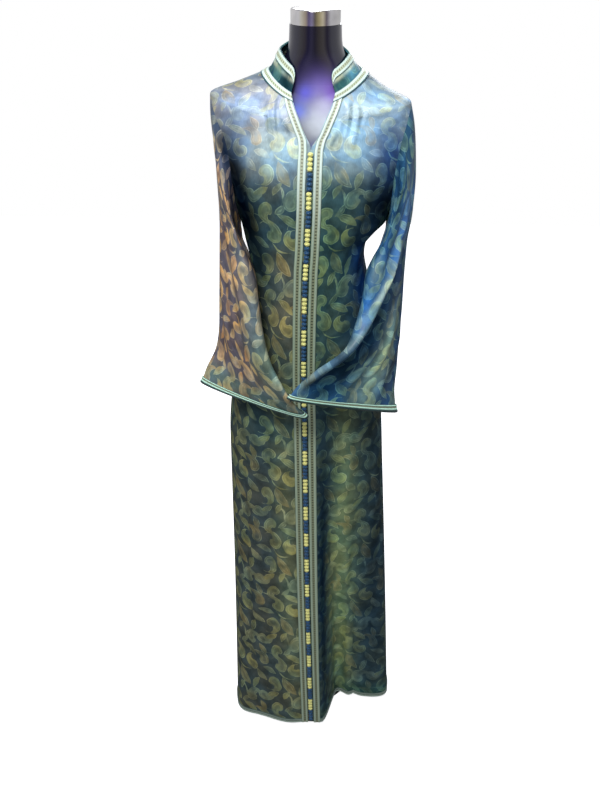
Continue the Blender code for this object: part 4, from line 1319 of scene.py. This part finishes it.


# Creases and colour zones of each cloth, in its flat coordinates and in millimetres; the zones hold
# painted shade and painted sheen besides the cloth's own colours
# Ends (u, v), bow, half width and height of each crease
CREASES = {
    "front_right": [
        (-152, 1285, -112, 1090, 0, 20, 9),
        (-70, 1546, -64, 1450, 2, 3, 3),
        (-77, 1548, -72, 1462, 2, 2.6, -2.6),
        (-86, 1550, -80, 1440, 3, 3.2, 3),
        (-96, 1548, -90, 1474, 2, 3.6, -2.4),
        (-54, 1500, -48, 1440, 1, 2.8, 2.2),
        (-125, 1440, -75, 1220, 6, 12, 2.6),
        (-100, 1410, -50, 1170, 5, 10, -2.2),
        (-110, 1180, -35, 1120, -4, 7, -2),
        (-100, 1110, -40, 1075, 3, 6, 1.6),
        (-60, 960, -52, 80, 4, 16, 3),
        (-88, 900, -84, 120, -3, 12, -2.6),
        (-122, 860, -128, 50, 5, 15, 3.8),
        (-150, 800, -152, 100, -4, 12, -3.2),
    ],
    "front_left": [
        (70, 1545, 64, 1452, -2, 3, 3),
        (78, 1547, 74, 1470, -2, 2.6, -2.6),
        (87, 1548, 82, 1444, -3, 3.2, 3),
        (97, 1546, 93, 1480, -2, 3.6, -2.2),
        (56, 1495, 50, 1436, -1, 2.8, 2.4),
        (150, 1430, 80, 1230, -10, 12, -3),
        (165, 1370, 95, 1140, -8, 12, 3.2),
        (120, 1380, 60, 1160, -5, 9, 2),
        (110, 1160, 40, 1110, 4, 7, -2),
        (105, 1090, 40, 1060, -3, 6, 1.6),
        (104, 900, 112, 60, 6, 16, 4.2),
        (140, 880, 150, 80, -4, 12, -3.6),
        (178, 840, 186, 50, 5, 14, 4.4),
        (212, 780, 216, 80, 3, 11, -3.6),
    ],
    "back": [
        (-190, 900, -200, 60, 6, 16, 5),
        (-150, 980, -158, 50, -8, 15, -5.2),
        (-104, 1040, -112, 50, 7, 17, 6),
        (-56, 960, -64, 50, -5, 14, -4.6),
        (-10, 1080, -14, 50, 6, 16, 5.2),
        (44, 1000, 40, 50, 8, 15, -5),
        (94, 940, 92, 50, -6, 16, 5.6),
        (140, 1020, 146, 50, 7, 15, -5),
        (184, 880, 196, 60, -5, 15, 4.8),
        (-120, 1400, -50, 1180, 12, 11, 3.4),
        (-90, 1440, -10, 1240, 10, 10, -2.8),
        (125, 1390, 60, 1160, -12, 11, 3.4),
        (88, 1430, 20, 1220, -10, 10, -2.8),
        (-100, 1130, 0, 1090, 6, 7, -2.4),
        (105, 1110, 10, 1065, -6, 7, -2.4),
        (-110, 1080, 20, 1050, 5, 7, 2),
    ],
    "sleeve_right": [
        (-240, 410, -212, 300, 0, 18, 4.5),
        (-50, 330, -94, 160, -4, 10, 4.2),
        (-12, 370, -40, 60, 8, 12, -4),
        (24, 330, 18, 40, -6, 13, 4),
        (60, 240, 80, 30, 5, 10, -3.4),
        (-100, 430, -30, 380, 6, 6, -2.4),
        (-110, 410, -40, 350, 8, 7, 2.4),
        (-110, 360, -50, 320, 6, 6, -2),
        (-70, 550, -110, 430, 4, 9, -3),
        (-40, 560, -60, 440, -3, 8, 2.4),
        (110, 400, 140, 60, 8, 14, 5),
        (160, 430, 190, 80, -8, 13, -4.8),
        (200, 340, 232, 50, 6, 13, 4.4),
        (80, 420, 160, 370, 6, 7, -3),
        (90, 380, 150, 340, 6, 7, 2.8),
    ],
    "sleeve_left": [
        (-18, 375, -78, 225, 4, 8, 6.5),
        (-74, 235, -124, 30, 10, 9, 9),
        (2, 320, -100, 50, 14, 12, -11),
        (14, 230, 32, 30, -4, 12, 6.4),
        (-10, 130, -30, 14, 2, 8, 4),
        (8, 140, 2, 20, 1, 6, -4),
        (60, 150, 12, 10, 3, 9, -4),
        (90, 180, 62, 12, 4, 11, 4.2),
        (-20, 420, -56, 270, 3, 7, 4),
        (-40, 450, -76, 290, -3, 7, -3.6),
        (-70, 560, -98, 400, 4, 8, 3.6),
        (-95, 520, -120, 340, 4, 8, -3),
        (0, 520, -10, 340, -4, 8, 3),
        (110, 400, 150, 60, 8, 14, 5),
        (160, 430, 200, 80, -8, 13, -4.8),
        (80, 400, 150, 350, 6, 7, -3),
        (85, 360, 150, 320, 6, 7, 2.8),
    ],
}
WIDE = 9000
ZONES = {
    "front_right": [
        (0, 400, WIDE, WIDE, 0, 1, (66, 76, 74), (118, 124, 98)),
        (-50, 860, 140, 100, 0, 0.8, (46, 74, 80), (98, 122, 100)),
        (-100, 600, 30, 200, 0, 0.5, (70, 78, 78), (106, 112, 96)),
        (-42, 500, 26, 460, 1, 0.75, (98, 112, 88), (148, 158, 118)),
        (-70, 1240, WIDE, 180, 0, 0.9, (48, 74, 82), (100, 124, 104)),
        (-45, 1130, 45, 110, 0, 0.75, (98, 104, 94), (158, 154, 116)),
        # painted sheen on the upper chest, and a painted blue highlight on its outer side
        (-90, 1525, 200, 90, 0, 1, (158, 172, 196), (180, 190, 198)),
        (-65, 1442, 78, 50, 0, 0.88, (168, 202, 216), (200, 222, 222)),
        (-165, 1450, 40, 50, 0, 0.7, (104, 126, 158), (140, 154, 176)),
        # painted shade beneath the sleeve, between it and the body
        (-176, 1390, 24, 60, 10, 0.92, (6, 20, 38), (30, 46, 64)),
        (-143, 1300, 36, 170, 15, 0.99, (2, 7, 18), (8, 18, 32)),
        (-147, 1335, 26, 80, 16, 0.98, (2, 8, 20), (8, 20, 34)),
        # painted shade along the small gathers beside the V
        (-73, 1520, 3.6, 28, 4, 0.50, (76, 112, 134), (100, 132, 146)),
        (-62, 1500, 3.4, 22, 8, 0.45, (70, 108, 132), (96, 130, 146)),
        (-50, 1478, 3.6, 18, 25, 0.70, (40, 74, 104), (60, 94, 116)),
        (-85, 1506, 4, 24, 2, 0.40, (84, 116, 140), (108, 136, 150)),
    ],
    "front_left": [
        (0, 400, WIDE, WIDE, 0, 1, (60, 80, 84), (92, 110, 104)),
        # a lighter green strip on the skirt, with painted shade in the folds on either side of it
        (116, 450, 37, 640, 5, 1.00, (112, 136, 100), (154, 176, 126)),
        (204, 460, 40, 600, 6.7, 0.97, (38, 54, 62), (60, 76, 80)),
        (46, 450, 32, 640, 0, 0.98, (22, 46, 66), (38, 64, 78)),
        (200, 25, 200, 35, 0, 0.8, (40, 76, 70), (74, 110, 98)),
        (80, 1220, WIDE, 200, 0, 0.95, (50, 78, 78), (108, 134, 102)),
        (140, 1150, 36, 130, 8, 0.92, (10, 54, 120), (26, 72, 144)),
        (105, 1060, 40, 80, 0, 0.7, (34, 66, 92), (60, 92, 108)),
        # painted sheen on the upper chest
        (100, 1530, 200, 90, 0, 1, (148, 184, 212), (176, 206, 218)),
        (80, 1460, 80, 50, 0, 0.85, (164, 204, 226), (192, 220, 230)),
        # painted blue highlights on the outer chest, darkening into painted shade beneath the sleeve
        (162, 1435, 40, 70, 0, 0.88, (40, 80, 144), (80, 126, 186)),
        (185, 1375, 35, 50, 0, 0.7, (18, 48, 98), (46, 88, 134)),
        (146, 1325, 36, 58, -12, 0.99, (2, 8, 24), (6, 20, 42)),
        # painted shade along the small gathers beside the V
        (75, 1522, 3.6, 28, -4, 0.50, (76, 114, 140), (100, 134, 150)),
        (63, 1506, 3.4, 24, -6, 0.45, (72, 110, 138), (98, 132, 148)),
        (45, 1458, 3.6, 18, -25, 0.65, (46, 82, 112), (66, 100, 122)),
        (90, 1510, 4, 26, -2, 0.40, (84, 120, 146), (108, 140, 156)),
    ],
    "back": [
        (0, 400, WIDE, WIDE, 0, 1, (60, 72, 76), (106, 116, 98)),
        (0, 1150, WIDE, 280, 0, 0.9, (50, 76, 88), (106, 124, 102)),
        # painted sheen across the shoulders
        (0, 1530, 250, 100, 0, 1, (112, 132, 160), (150, 166, 172)),
        (-100, 600, 50, 400, 0, 0.5, (70, 88, 80), (116, 128, 100)),
        (120, 500, 50, 400, 0, 0.5, (34, 52, 74), (70, 88, 92)),
    ],
    "sleeve_right": [
        (0, 300, WIDE, WIDE, 0, 1, (104, 96, 104), (212, 176, 130)),
        (200, 300, 100, WIDE, 0, 0.8, (74, 80, 100), (150, 140, 116)),
        (-60, 600, WIDE, 100, 0, 0.9, (84, 102, 124), (158, 162, 164)),
        (-96, 270, 26, 140, -8, 0.85, (98, 108, 110), (158, 160, 142)),
        (-115, 120, 58, 85, 0, 0.85, (96, 124, 112), (152, 176, 150)),
        (0, 30, WIDE, 26, 0, 0.75, (84, 112, 104), (138, 162, 142)),
        # painted shade where the sleeve meets the body
        (-152, 460, 44, 170, 0, 0.93, (8, 22, 44), (40, 52, 72)),
        (-100, 540, 22, 60, -46, 0.95, (14, 32, 56), (36, 52, 76)),
    ],
    "sleeve_left": [
        (0, 300, WIDE, WIDE, 0, 1, (50, 92, 130), (104, 146, 156)),
        (200, 300, 100, WIDE, 0, 0.8, (44, 66, 92), (92, 114, 106)),
        (-105, 470, 50, 150, 0, 0.9, (24, 58, 90), (68, 106, 122)),
        (-56, 570, 50, 90, 0, 0.8, (48, 86, 108), (92, 128, 140)),
        (-34, 370, 28, 120, 0, 0.8, (84, 140, 204), (148, 196, 222)),
        (10, 265, 26, 75, -10, 0.85, (46, 70, 120), (74, 98, 136)),
        (-92, 265, 28, 85, -8, 0.90, (46, 108, 172), (84, 136, 180)),
        (-94, 312, 18, 30, 0, 0.75, (96, 128, 136), (140, 172, 160)),
        (-118, 130, 24, 60, 0, 0.75, (44, 76, 104), (104, 138, 156)),
        # painted shade in the valley of the sleeve's fold, down to the cuff
        (-55, 165, 32, 130, -18, 0.97, (26, 54, 76), (48, 80, 104)),
        (-66, 95, 36, 40, 0, 0.85, (18, 40, 58), (48, 76, 90)),
        (10, 22, 90, 28, 0, 0.70, (44, 84, 112), (92, 134, 142)),
        (-80, 44, 36, 30, -6, 0.90, (16, 48, 72), (44, 80, 100)),
        # painted highlights along the fold's ridge and on the lower green fold
        (-56, 290, 8, 75, -30, 0.85, (172, 206, 200), (192, 220, 208)),
        (-97, 180, 8, 60, -27, 0.75, (116, 142, 140), (138, 160, 152)),
        (-122, 70, 10, 50, -6, 0.60, (100, 126, 132), (124, 146, 146)),
        (-18, 70, 14, 46, 10, 0.75, (84, 128, 142), (136, 182, 176)),
        (26, 124, 30, 98, 6, 0.92, (154, 192, 168), (222, 250, 208)),
        (88, 120, 22, 130, 0, 0.85, (48, 64, 92), (86, 104, 118)),
    ],
    "collar": [
        (0, 0, WIDE, WIDE, 0, 1, (34, 70, 88), (48, 86, 100)),
        (365, 12, 40, 20, 0, 0.9, (84, 140, 154), (104, 160, 166)),
        (395, 12, 16, 30, 0, 0.8, (20, 62, 72), (34, 78, 84)),
        (200, 19.8, WIDE, 3.8, 0, 0.95, (176, 198, 184), (190, 206, 190)),
        (45, 20, 16, 14, 0, 0.8, (70, 116, 120), (90, 134, 134)),
        (18, 12, 16, 30, 0, 0.8, (14, 44, 52), (24, 58, 62)),
    ],
}


def painted_shade_of(cloth, low=(1.0, 1.0, 1.0)):
    """Painted shade for braids, from white above to a low tone below."""
    share = smoothstep((cloth.points[..., 2] - PAINTED_SHADE_LEVEL) / PAINTED_SHADE_EASE)[..., None]
    return {"painted_shade": np.array(low) + (1.0 - np.array(low)) * share}


def band_flat(cloth, along_rows):
    """Flat coordinates of a band: 0 to 1 across, metres along."""
    points = cloth.points if along_rows else cloth.points.swapaxes(0, 1)
    columns = points.shape[1]
    middle = columns // 2
    along = distances(points, 0)[:, middle : middle + 1]
    across, along = np.broadcast_arrays(np.linspace(0.0, 1.0, columns), along)
    flat = np.stack([across, along], axis=2)
    return flat if along_rows else flat.swapaxes(0, 1)


def ridge_profile(count, ridges):
    """Heights across a band with round ridges."""
    place = np.linspace(0.0, 1.0, count)
    height = np.zeros(count)
    for middle, half, rise in ridges:
        share = np.clip(1.0 - ((place - middle) / half) ** 2, 0.0, 1.0)
        height += rise * np.sqrt(share)
    return height


def build_collar(neck_points, neck_normals):
    """The standing collar on the neckline."""
    steps = np.linalg.norm(np.diff(neck_points, axis=0), axis=1)
    lengths = np.concatenate([[0.0], np.cumsum(steps)])
    neck = section(NECKLINE)
    top = []
    for place in neck_points:
        point = Vector(place)
        to_left = float(smoothstep(0.5 + point.x / (neck.left_half + neck.right_half)))
        height, top_half, top_z = [a + (b - a) * to_left for a, b in zip(COLLAR_RIGHT, COLLAR_LEFT)]
        across = point.x / (neck.left_half if point.x > 0.0 else neck.right_half)
        if point.y < 0.0:
            aim_y = point.y / neck.front * COLLAR_TOP_FRONT
            lift = -COLLAR_FRONT_DROP
        else:
            aim_y = point.y / neck.back * COLLAR_TOP_BACK
            lift = COLLAR_BACK_RISE
        aim_z = top_z + lift * (1.0 - min(abs(across), 1.0) ** 2)
        aim = Vector((across * top_half, aim_y, aim_z))
        top.append(point + (aim - point).normalized() * height)
    top = np.array(top)
    from_end = np.minimum(lengths, lengths[-1] - lengths)
    corner = 1.0 - np.minimum(from_end / COLLAR_CORNER, 1.0)
    heights = 1.0 - COLLAR_CORNER_CUT * (1.0 - np.sqrt(1.0 - corner * corner))
    below = np.linspace(0.0, COLLAR_BRAID_SHARE, COLLAR_ROWS // 2 + 1)[:-1]
    shares = np.concatenate([below, np.linspace(COLLAR_BRAID_SHARE, 1.0, COLLAR_ROWS // 2 + 1)])
    lift = shares[:, None] * heights[None, :]
    points = neck_points[None] + (top - neck_points)[None] * lift[..., None]
    collar = Cloth(points, -1)
    collar.normals[0] = neck_normals
    along = np.broadcast_to(lengths, lift.shape)
    rise = lift * np.linalg.norm(top - neck_points, axis=1)
    collar.flat = np.stack([along, rise], axis=2)
    return collar


def place_piece(piece, node):
    """Puts a piece in a node's place on the one body."""
    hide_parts(node)
    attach(piece, "root")


def round_ring(z, half, front, back):
    """One ring of the form's own figure."""
    ring = []
    for step in range(FORM_SIDES):
        angle = 2.0 * pi * step / FORM_SIDES
        depth = front if cos(angle) > 0.0 else back
        ring.append((half * sin(angle), -depth * cos(angle), z))
    return ring


def figure_rings(table, count):
    """Rings of the form's own figure, up a table."""
    rise = table[-1].z - table[0].z
    return [round_ring(*row_at(table, table[0].z + rise * i / (count - 1))) for i in range(count)]


def shoulder_ring(level):
    """A ring of the form a little inside the body cloth."""
    cloth = section(level)
    ease = row_at(SHOULDER_EASE, level)
    ring = []
    for place in range(FORM_SIDES):
        turn = 360.0 * place / FORM_SIDES
        side = 1 if turn <= 180.0 else -1
        point = body_point(side, min(turn, 360.0 - turn), level, folded=False)
        x_share = 1.0 - ease.side / (cloth.left_half if side > 0 else cloth.right_half)
        y_share = 1.0 - ease.depth / (cloth.front if point.y < 0.0 else cloth.back)
        ring.append((point.x * x_share, point.y * y_share, point.z - ease.drop))
    return ring


def form_mesh(name, rings, material, colours=None, sharp=40.0):
    """A closed turned shape from its rings."""
    faces = [list(range(FORM_SIDES))[::-1]]
    for i in range(len(rings) - 1):
        a = i * FORM_SIDES
        b = a + FORM_SIDES
        for j in range(FORM_SIDES):
            k = (j + 1) % FORM_SIDES
            faces.append([a + j, a + k, b + k, b + j])
    faces.append([(len(rings) - 1) * FORM_SIDES + j for j in range(FORM_SIDES)])
    verts = np.array(rings).reshape(-1, 3)
    return add_mesh(name, verts, faces, material, colours=colours, sharp=sharp)


def fill_open_neck(grid):
    """Brings the form's rings forward to the throat in the open neck."""
    x, y, z = np.moveaxis(grid, 2, 0)
    ahead = -y
    limits = [column_value(THROAT, "reach", height) for height in THROAT_HEIGHTS]
    limit = np.interp(z, THROAT_HEIGHTS, limits, left=1.0, right=1.0)
    share = np.clip(0.5 + 0.5 * (limit - ahead) / THROAT_EASE, 0.0, 1.0)
    least = limit * (1.0 - share) + ahead * share - THROAT_EASE * share * (1.0 - share)
    inside = smoothstep((OPEN_NECK_HALF - np.abs(x)) / OPEN_NECK_SIDE_EASE) * (ahead > 0.0)
    inside = inside * smoothstep((z - THROAT[0].z) / OPEN_NECK_LOW_EASE)
    inside = inside * smoothstep((THROAT[-1].z - z) / OPEN_NECK_HIGH_EASE)
    grid[..., 1] -= (least - ahead) * inside


def build_form(gloss, chrome, steel):
    """The form's torso, neck and cap, finer than the solids."""
    rings = figure_rings(TORSO, TORSO_RINGS)
    low = SHOULDER_EASE[0].level
    rise = SHOULDER_EASE[-1].level - low
    rings += [shoulder_ring(low + rise * i / (SHOULDER_RINGS - 1)) for i in range(SHOULDER_RINGS)]
    last = rings[-1]
    first = round_ring(*NECK[0])
    for step in range(1, NECK_ROOT_RINGS):
        share = step / NECK_ROOT_RINGS
        rings.append([tuple(Vector(a).lerp(b, share)) for a, b in zip(last, first)])
    grid = np.array(rings + figure_rings(NECK, NECK_RINGS))
    fill_open_neck(grid)
    verts = grid.reshape(-1, 3)
    colours = np.tile(np.array(FORM_TONE), (len(verts), 1))
    # painted reflections and highlights of the lights, laid into the form's colour
    for place, reach, tone in FORM_PAINTED_REFLECTIONS:
        share = np.exp(-((np.linalg.norm(verts - np.array(place), axis=1) / reach) ** 2))
        colours += (np.array(tone) - colours) * share[:, None]
    torso = form_mesh("torso", grid, gloss, {"ground": colours})
    place_piece(torso, "form_torso")
    cap_rings = [round_ring(NECK_CAP_Z + z, *[NECK_CAP_RADIUS + out] * 3) for out, z in CAP_OUTLINE]
    cap = form_mesh("neck_cap", cap_rings, chrome, sharp=60.0)
    place_piece(cap, "form_neck_cap")
    for node in ("form_pole", "form_base"):
        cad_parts[node].material_slots[0].material = steel


def group_places():
    """Name, middle, way along and way out of each group of knots."""
    step = KNOTS_IN_GROUP * KNOT_PITCH
    for pair in range(GROUP_PAIRS):
        for number, colour in enumerate(("yellow", "blue")):
            z = FIRST_GROUP_Z - (2 * pair + number) * step
            above = centre_front(z + step / 2.0)
            below = centre_front(z - step / 2.0)
            along = (above - below).normalized()
            out = Vector((0.0, -along.z, along.y)).normalized()
            place = (above + below) / 2.0 + out * (KNOT_RADIUS + SEAM)
            yield colour, pair + 1, place, along, out


def centre_front(z):
    """The point of the centre front at a height below the V."""
    low = HEM
    high = SHOULDER
    for _ in range(40):
        middle = (low + high) / 2.0
        if section(middle).front_z < z:
            low = middle
        else:
            high = middle
    return body_point(1, 0.0, low, folded=False)


def knot_group(place, along, out):
    """Corners, faces and flat coordinates of the knots of a group."""
    across = along.cross(out)
    length = KNOTS_IN_GROUP * KNOT_PITCH - SEAM
    pitch = length / KNOTS_IN_GROUP
    turns = [2.0 * pi * j / KNOT_SIDES for j in range(KNOT_SIDES)]
    verts = []
    faces = []
    flat = []
    for knot in range(KNOTS_IN_GROUP):
        middle = place + along * (-length / 2.0 + pitch * (knot + 0.5))
        base = len(verts)
        for i in range(KNOT_RINGS + 1):
            angle = pi * (KNOT_END + (1.0 - 2.0 * KNOT_END) * i / KNOT_RINGS)
            centre = middle - along * (cos(angle) * pitch / 2.0)
            reach = KNOT_RADIUS * max(sin(angle), 0.0) ** KNOT_ROUND
            for turn in turns:
                swell = reach * (1.0 + KNOT_SWELL * cos(3.0 * turn + 2.0 * i))
                aside = across * (swell * KNOT_WIDE * cos(turn))
                verts.append(tuple(centre + aside + out * (swell * sin(turn))))
        for i in range(KNOT_RINGS):
            a = base + i * KNOT_SIDES
            b = a + KNOT_SIDES
            for j in range(KNOT_SIDES):
                k = (j + 1) % KNOT_SIDES
                faces.append([a + j, a + k, b + k, b + j])
                steps = ((j, i), (j + 1, i), (j + 1, i + 1), (j, i + 1))
                flat += [(u / KNOT_SIDES, v / KNOT_RINGS) for u, v in steps]
        faces.append([base + j for j in range(KNOT_SIDES)][::-1])
        faces.append([base + KNOT_RINGS * KNOT_SIDES + j for j in range(KNOT_SIDES)])
        flat += [(0.5, 0.0)] * KNOT_SIDES + [(0.5, 1.0)] * KNOT_SIDES
    return np.array(verts), faces, flat


def build_knots(silks):
    """Groups of four silk knots, yellow and blue in turn."""
    pieces = []
    for colour, number, place, along, out in group_places():
        verts, faces, flat = knot_group(place, along, out)
        label = "%s_%02d" % (colour, number)
        piece = add_mesh("silk_" + label, verts, faces, silks[colour], flat)
        place_piece(piece, "knots_" + label)
        pieces.append(piece)
    return pieces


def share_edge(first, second):
    """Gives two edges that are sewn together the same way out."""
    middle = first + second
    middle /= np.linalg.norm(middle, axis=-1, keepdims=True)
    first[...] = middle
    second[...] = middle


def hold_mask(cloth, first, reach):
    """1 inside a panel and 0 at its top, its last column and a first one."""
    along = distances(cloth.points, 1)
    rise = distances(cloth.points, 0)
    mask = smoothstep((along - along[:, first : first + 1]) / reach)
    mask = mask * smoothstep((along[:, -1:] - along) / reach)
    mask = mask * smoothstep((rise[-1:] - rise) / reach)
    return mask * smoothstep(rise / HEM_HOLD)


def sew_braid(name, node, band, material, painted_shade, ridges=None, lift=SEAM):
    """A braid on a band of the cloth, a little off it."""
    piece = wall(name, band, lift + BRAID, lift, material, painted_shade, ridges)
    place_piece(piece, node)
    return piece


def lay_cloth(name, node, cloth, satin, with_pieces):
    """A cloth as a thin shell."""
    piece = wall(name, cloth, 0.0, -CLOTH, satin, colours_with_painted_light(cloth, ZONES[node]))
    place_piece(piece, node)
    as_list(with_pieces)


def creased_cloths():
    """The panels and sleeves with their creases, their side seams shared."""
    levels = panel_levels()
    right = front_cloth(-1, levels)
    left = front_cloth(1, levels)
    back = back_cloth(levels)
    sleeves = {"right": sleeve_cloth(-1), "left": sleeve_cloth(1)}
    for name, cloth in (("front_right", right), ("front_left", left)):
        crease(cloth, CREASES[name], hold_mask(cloth, BAND_COLUMNS + 2, FRONT_HOLD))
    crease(back, CREASES["back"], hold_mask(back, 0, BACK_HOLD))
    for side, cloth in sleeves.items():
        down = distances(cloth.points, 0)
        hold = smoothstep(down / SLEEVE_HOLD) * smoothstep((down[-1:] - down) / SLEEVE_HOLD)
        crease(cloth, CREASES["sleeve_" + side], hold)
    low = next(i for i, level in enumerate(levels) if level >= UNDERARM - TINY)
    for cloth, column in ((right, 0), (left, -1)):
        for rows in (slice(0, low + 1), slice(low + ARMHOLE_ROWS, None)):
            share_edge(cloth.normals[rows, -1], back.normals[rows, column])
    return right, left, back, sleeves


def build_garment(knots):
    """The cloth with its braids, and which of them are sewn to which cloth."""
    satin = satin_material()
    right, left, back, sleeves = creased_cloths()
    band_end = BAND_COLUMNS + 2
    top = right.points.shape[0] - 1
    rows = slice(top - NECK_TRIM_ROWS, None)
    around = joined(right.part(rows), back.part(rows), left.part(rows).flipped())
    collar = build_collar(around.points[-1], around.normals[-1])
    braids = {name: braid_material(name + "_braid", braid) for name, braid in BRAIDS.items()}

    ridges = ridge_profile(BAND_COLUMNS + 1, FRONT_RIDGES)
    sewn = {}
    for side, cloth in (("right", right), ("left", left)):
        band = cloth.part(slice(0, top - NECK_TRIM_ROWS + 1), slice(2, band_end + 1))
        band.flat = band_flat(band, True)
        # painted shade: the front braids darker towards the hem
        painted_shade = painted_shade_of(band, PAINTED_SHADE_LOW)
        name = "front_" + side
        piece = sew_braid("braid_band_" + side, "braid_" + name, band, braids["front"], painted_shade, ridges)
        sewn[name] = [piece]
    sewn["front_right"] += knots

    rows = slice(0, HEM_TRIM_ROWS + 1)
    clear = slice(band_end, None)
    hem = joined(right.part(rows, clear), back.part(rows), left.part(rows, clear).flipped())
    hem.flat = band_flat(hem, False)
    sewn["back"] = [sew_braid("hem_trim", "braid_hem", hem, braids["hem"], painted_shade_of(hem))]

    around.flat = band_flat(around, False)
    painted_shade = painted_shade_of(around)
    neck_trim = sew_braid("neck_trim", "braid_neckline", around, braids["base"], painted_shade)
    edge = collar.part(slice(COLLAR_ROWS // 2, None))
    edge.flat = band_flat(edge, False)
    painted_shade = painted_shade_of(edge)
    collar_trim = sew_braid("collar_trim", "braid_collar", edge, braids["round"], painted_shade)
    panels = ["front_right", "front_left", "back"]
    trims = [neck_trim, collar_trim]
    lay_cloth("collar_stand", "collar", collar, satin, trims)
    for name, cloth in zip(panels, (right, left, back)):
        lay_cloth(name + "_cloth", name, cloth, satin, sewn[name])

    ridges = ridge_profile(CUFF_ROWS + 1, CUFF_RIDGES)[:, None]
    for side, cloth in sleeves.items():
        band = cloth.part(slice(-CUFF_ROWS - 1, None))
        band.flat = band_flat(band, False)
        node = "braid_cuff_" + side
        painted_shade = painted_shade_of(band)
        cuff = sew_braid("cuff_trim_" + side, node, band, braids["cuff"], painted_shade, ridges, 2 * SEAM)
        name = "sleeve_" + side
        lay_cloth(name + "_cloth", name, cloth, satin, [cuff])


def main():
    build_camera()
    build_room()
    gloss = gloss_material()
    chrome = metal_material("chrome", *CHROME)
    steel = metal_material("steel", *STEEL)
    build_form(gloss, chrome, steel)
    silks = {name: silk_material("silk_" + name, *tones) for name, tones in SILKS.items()}
    build_garment(build_knots(silks))


main()
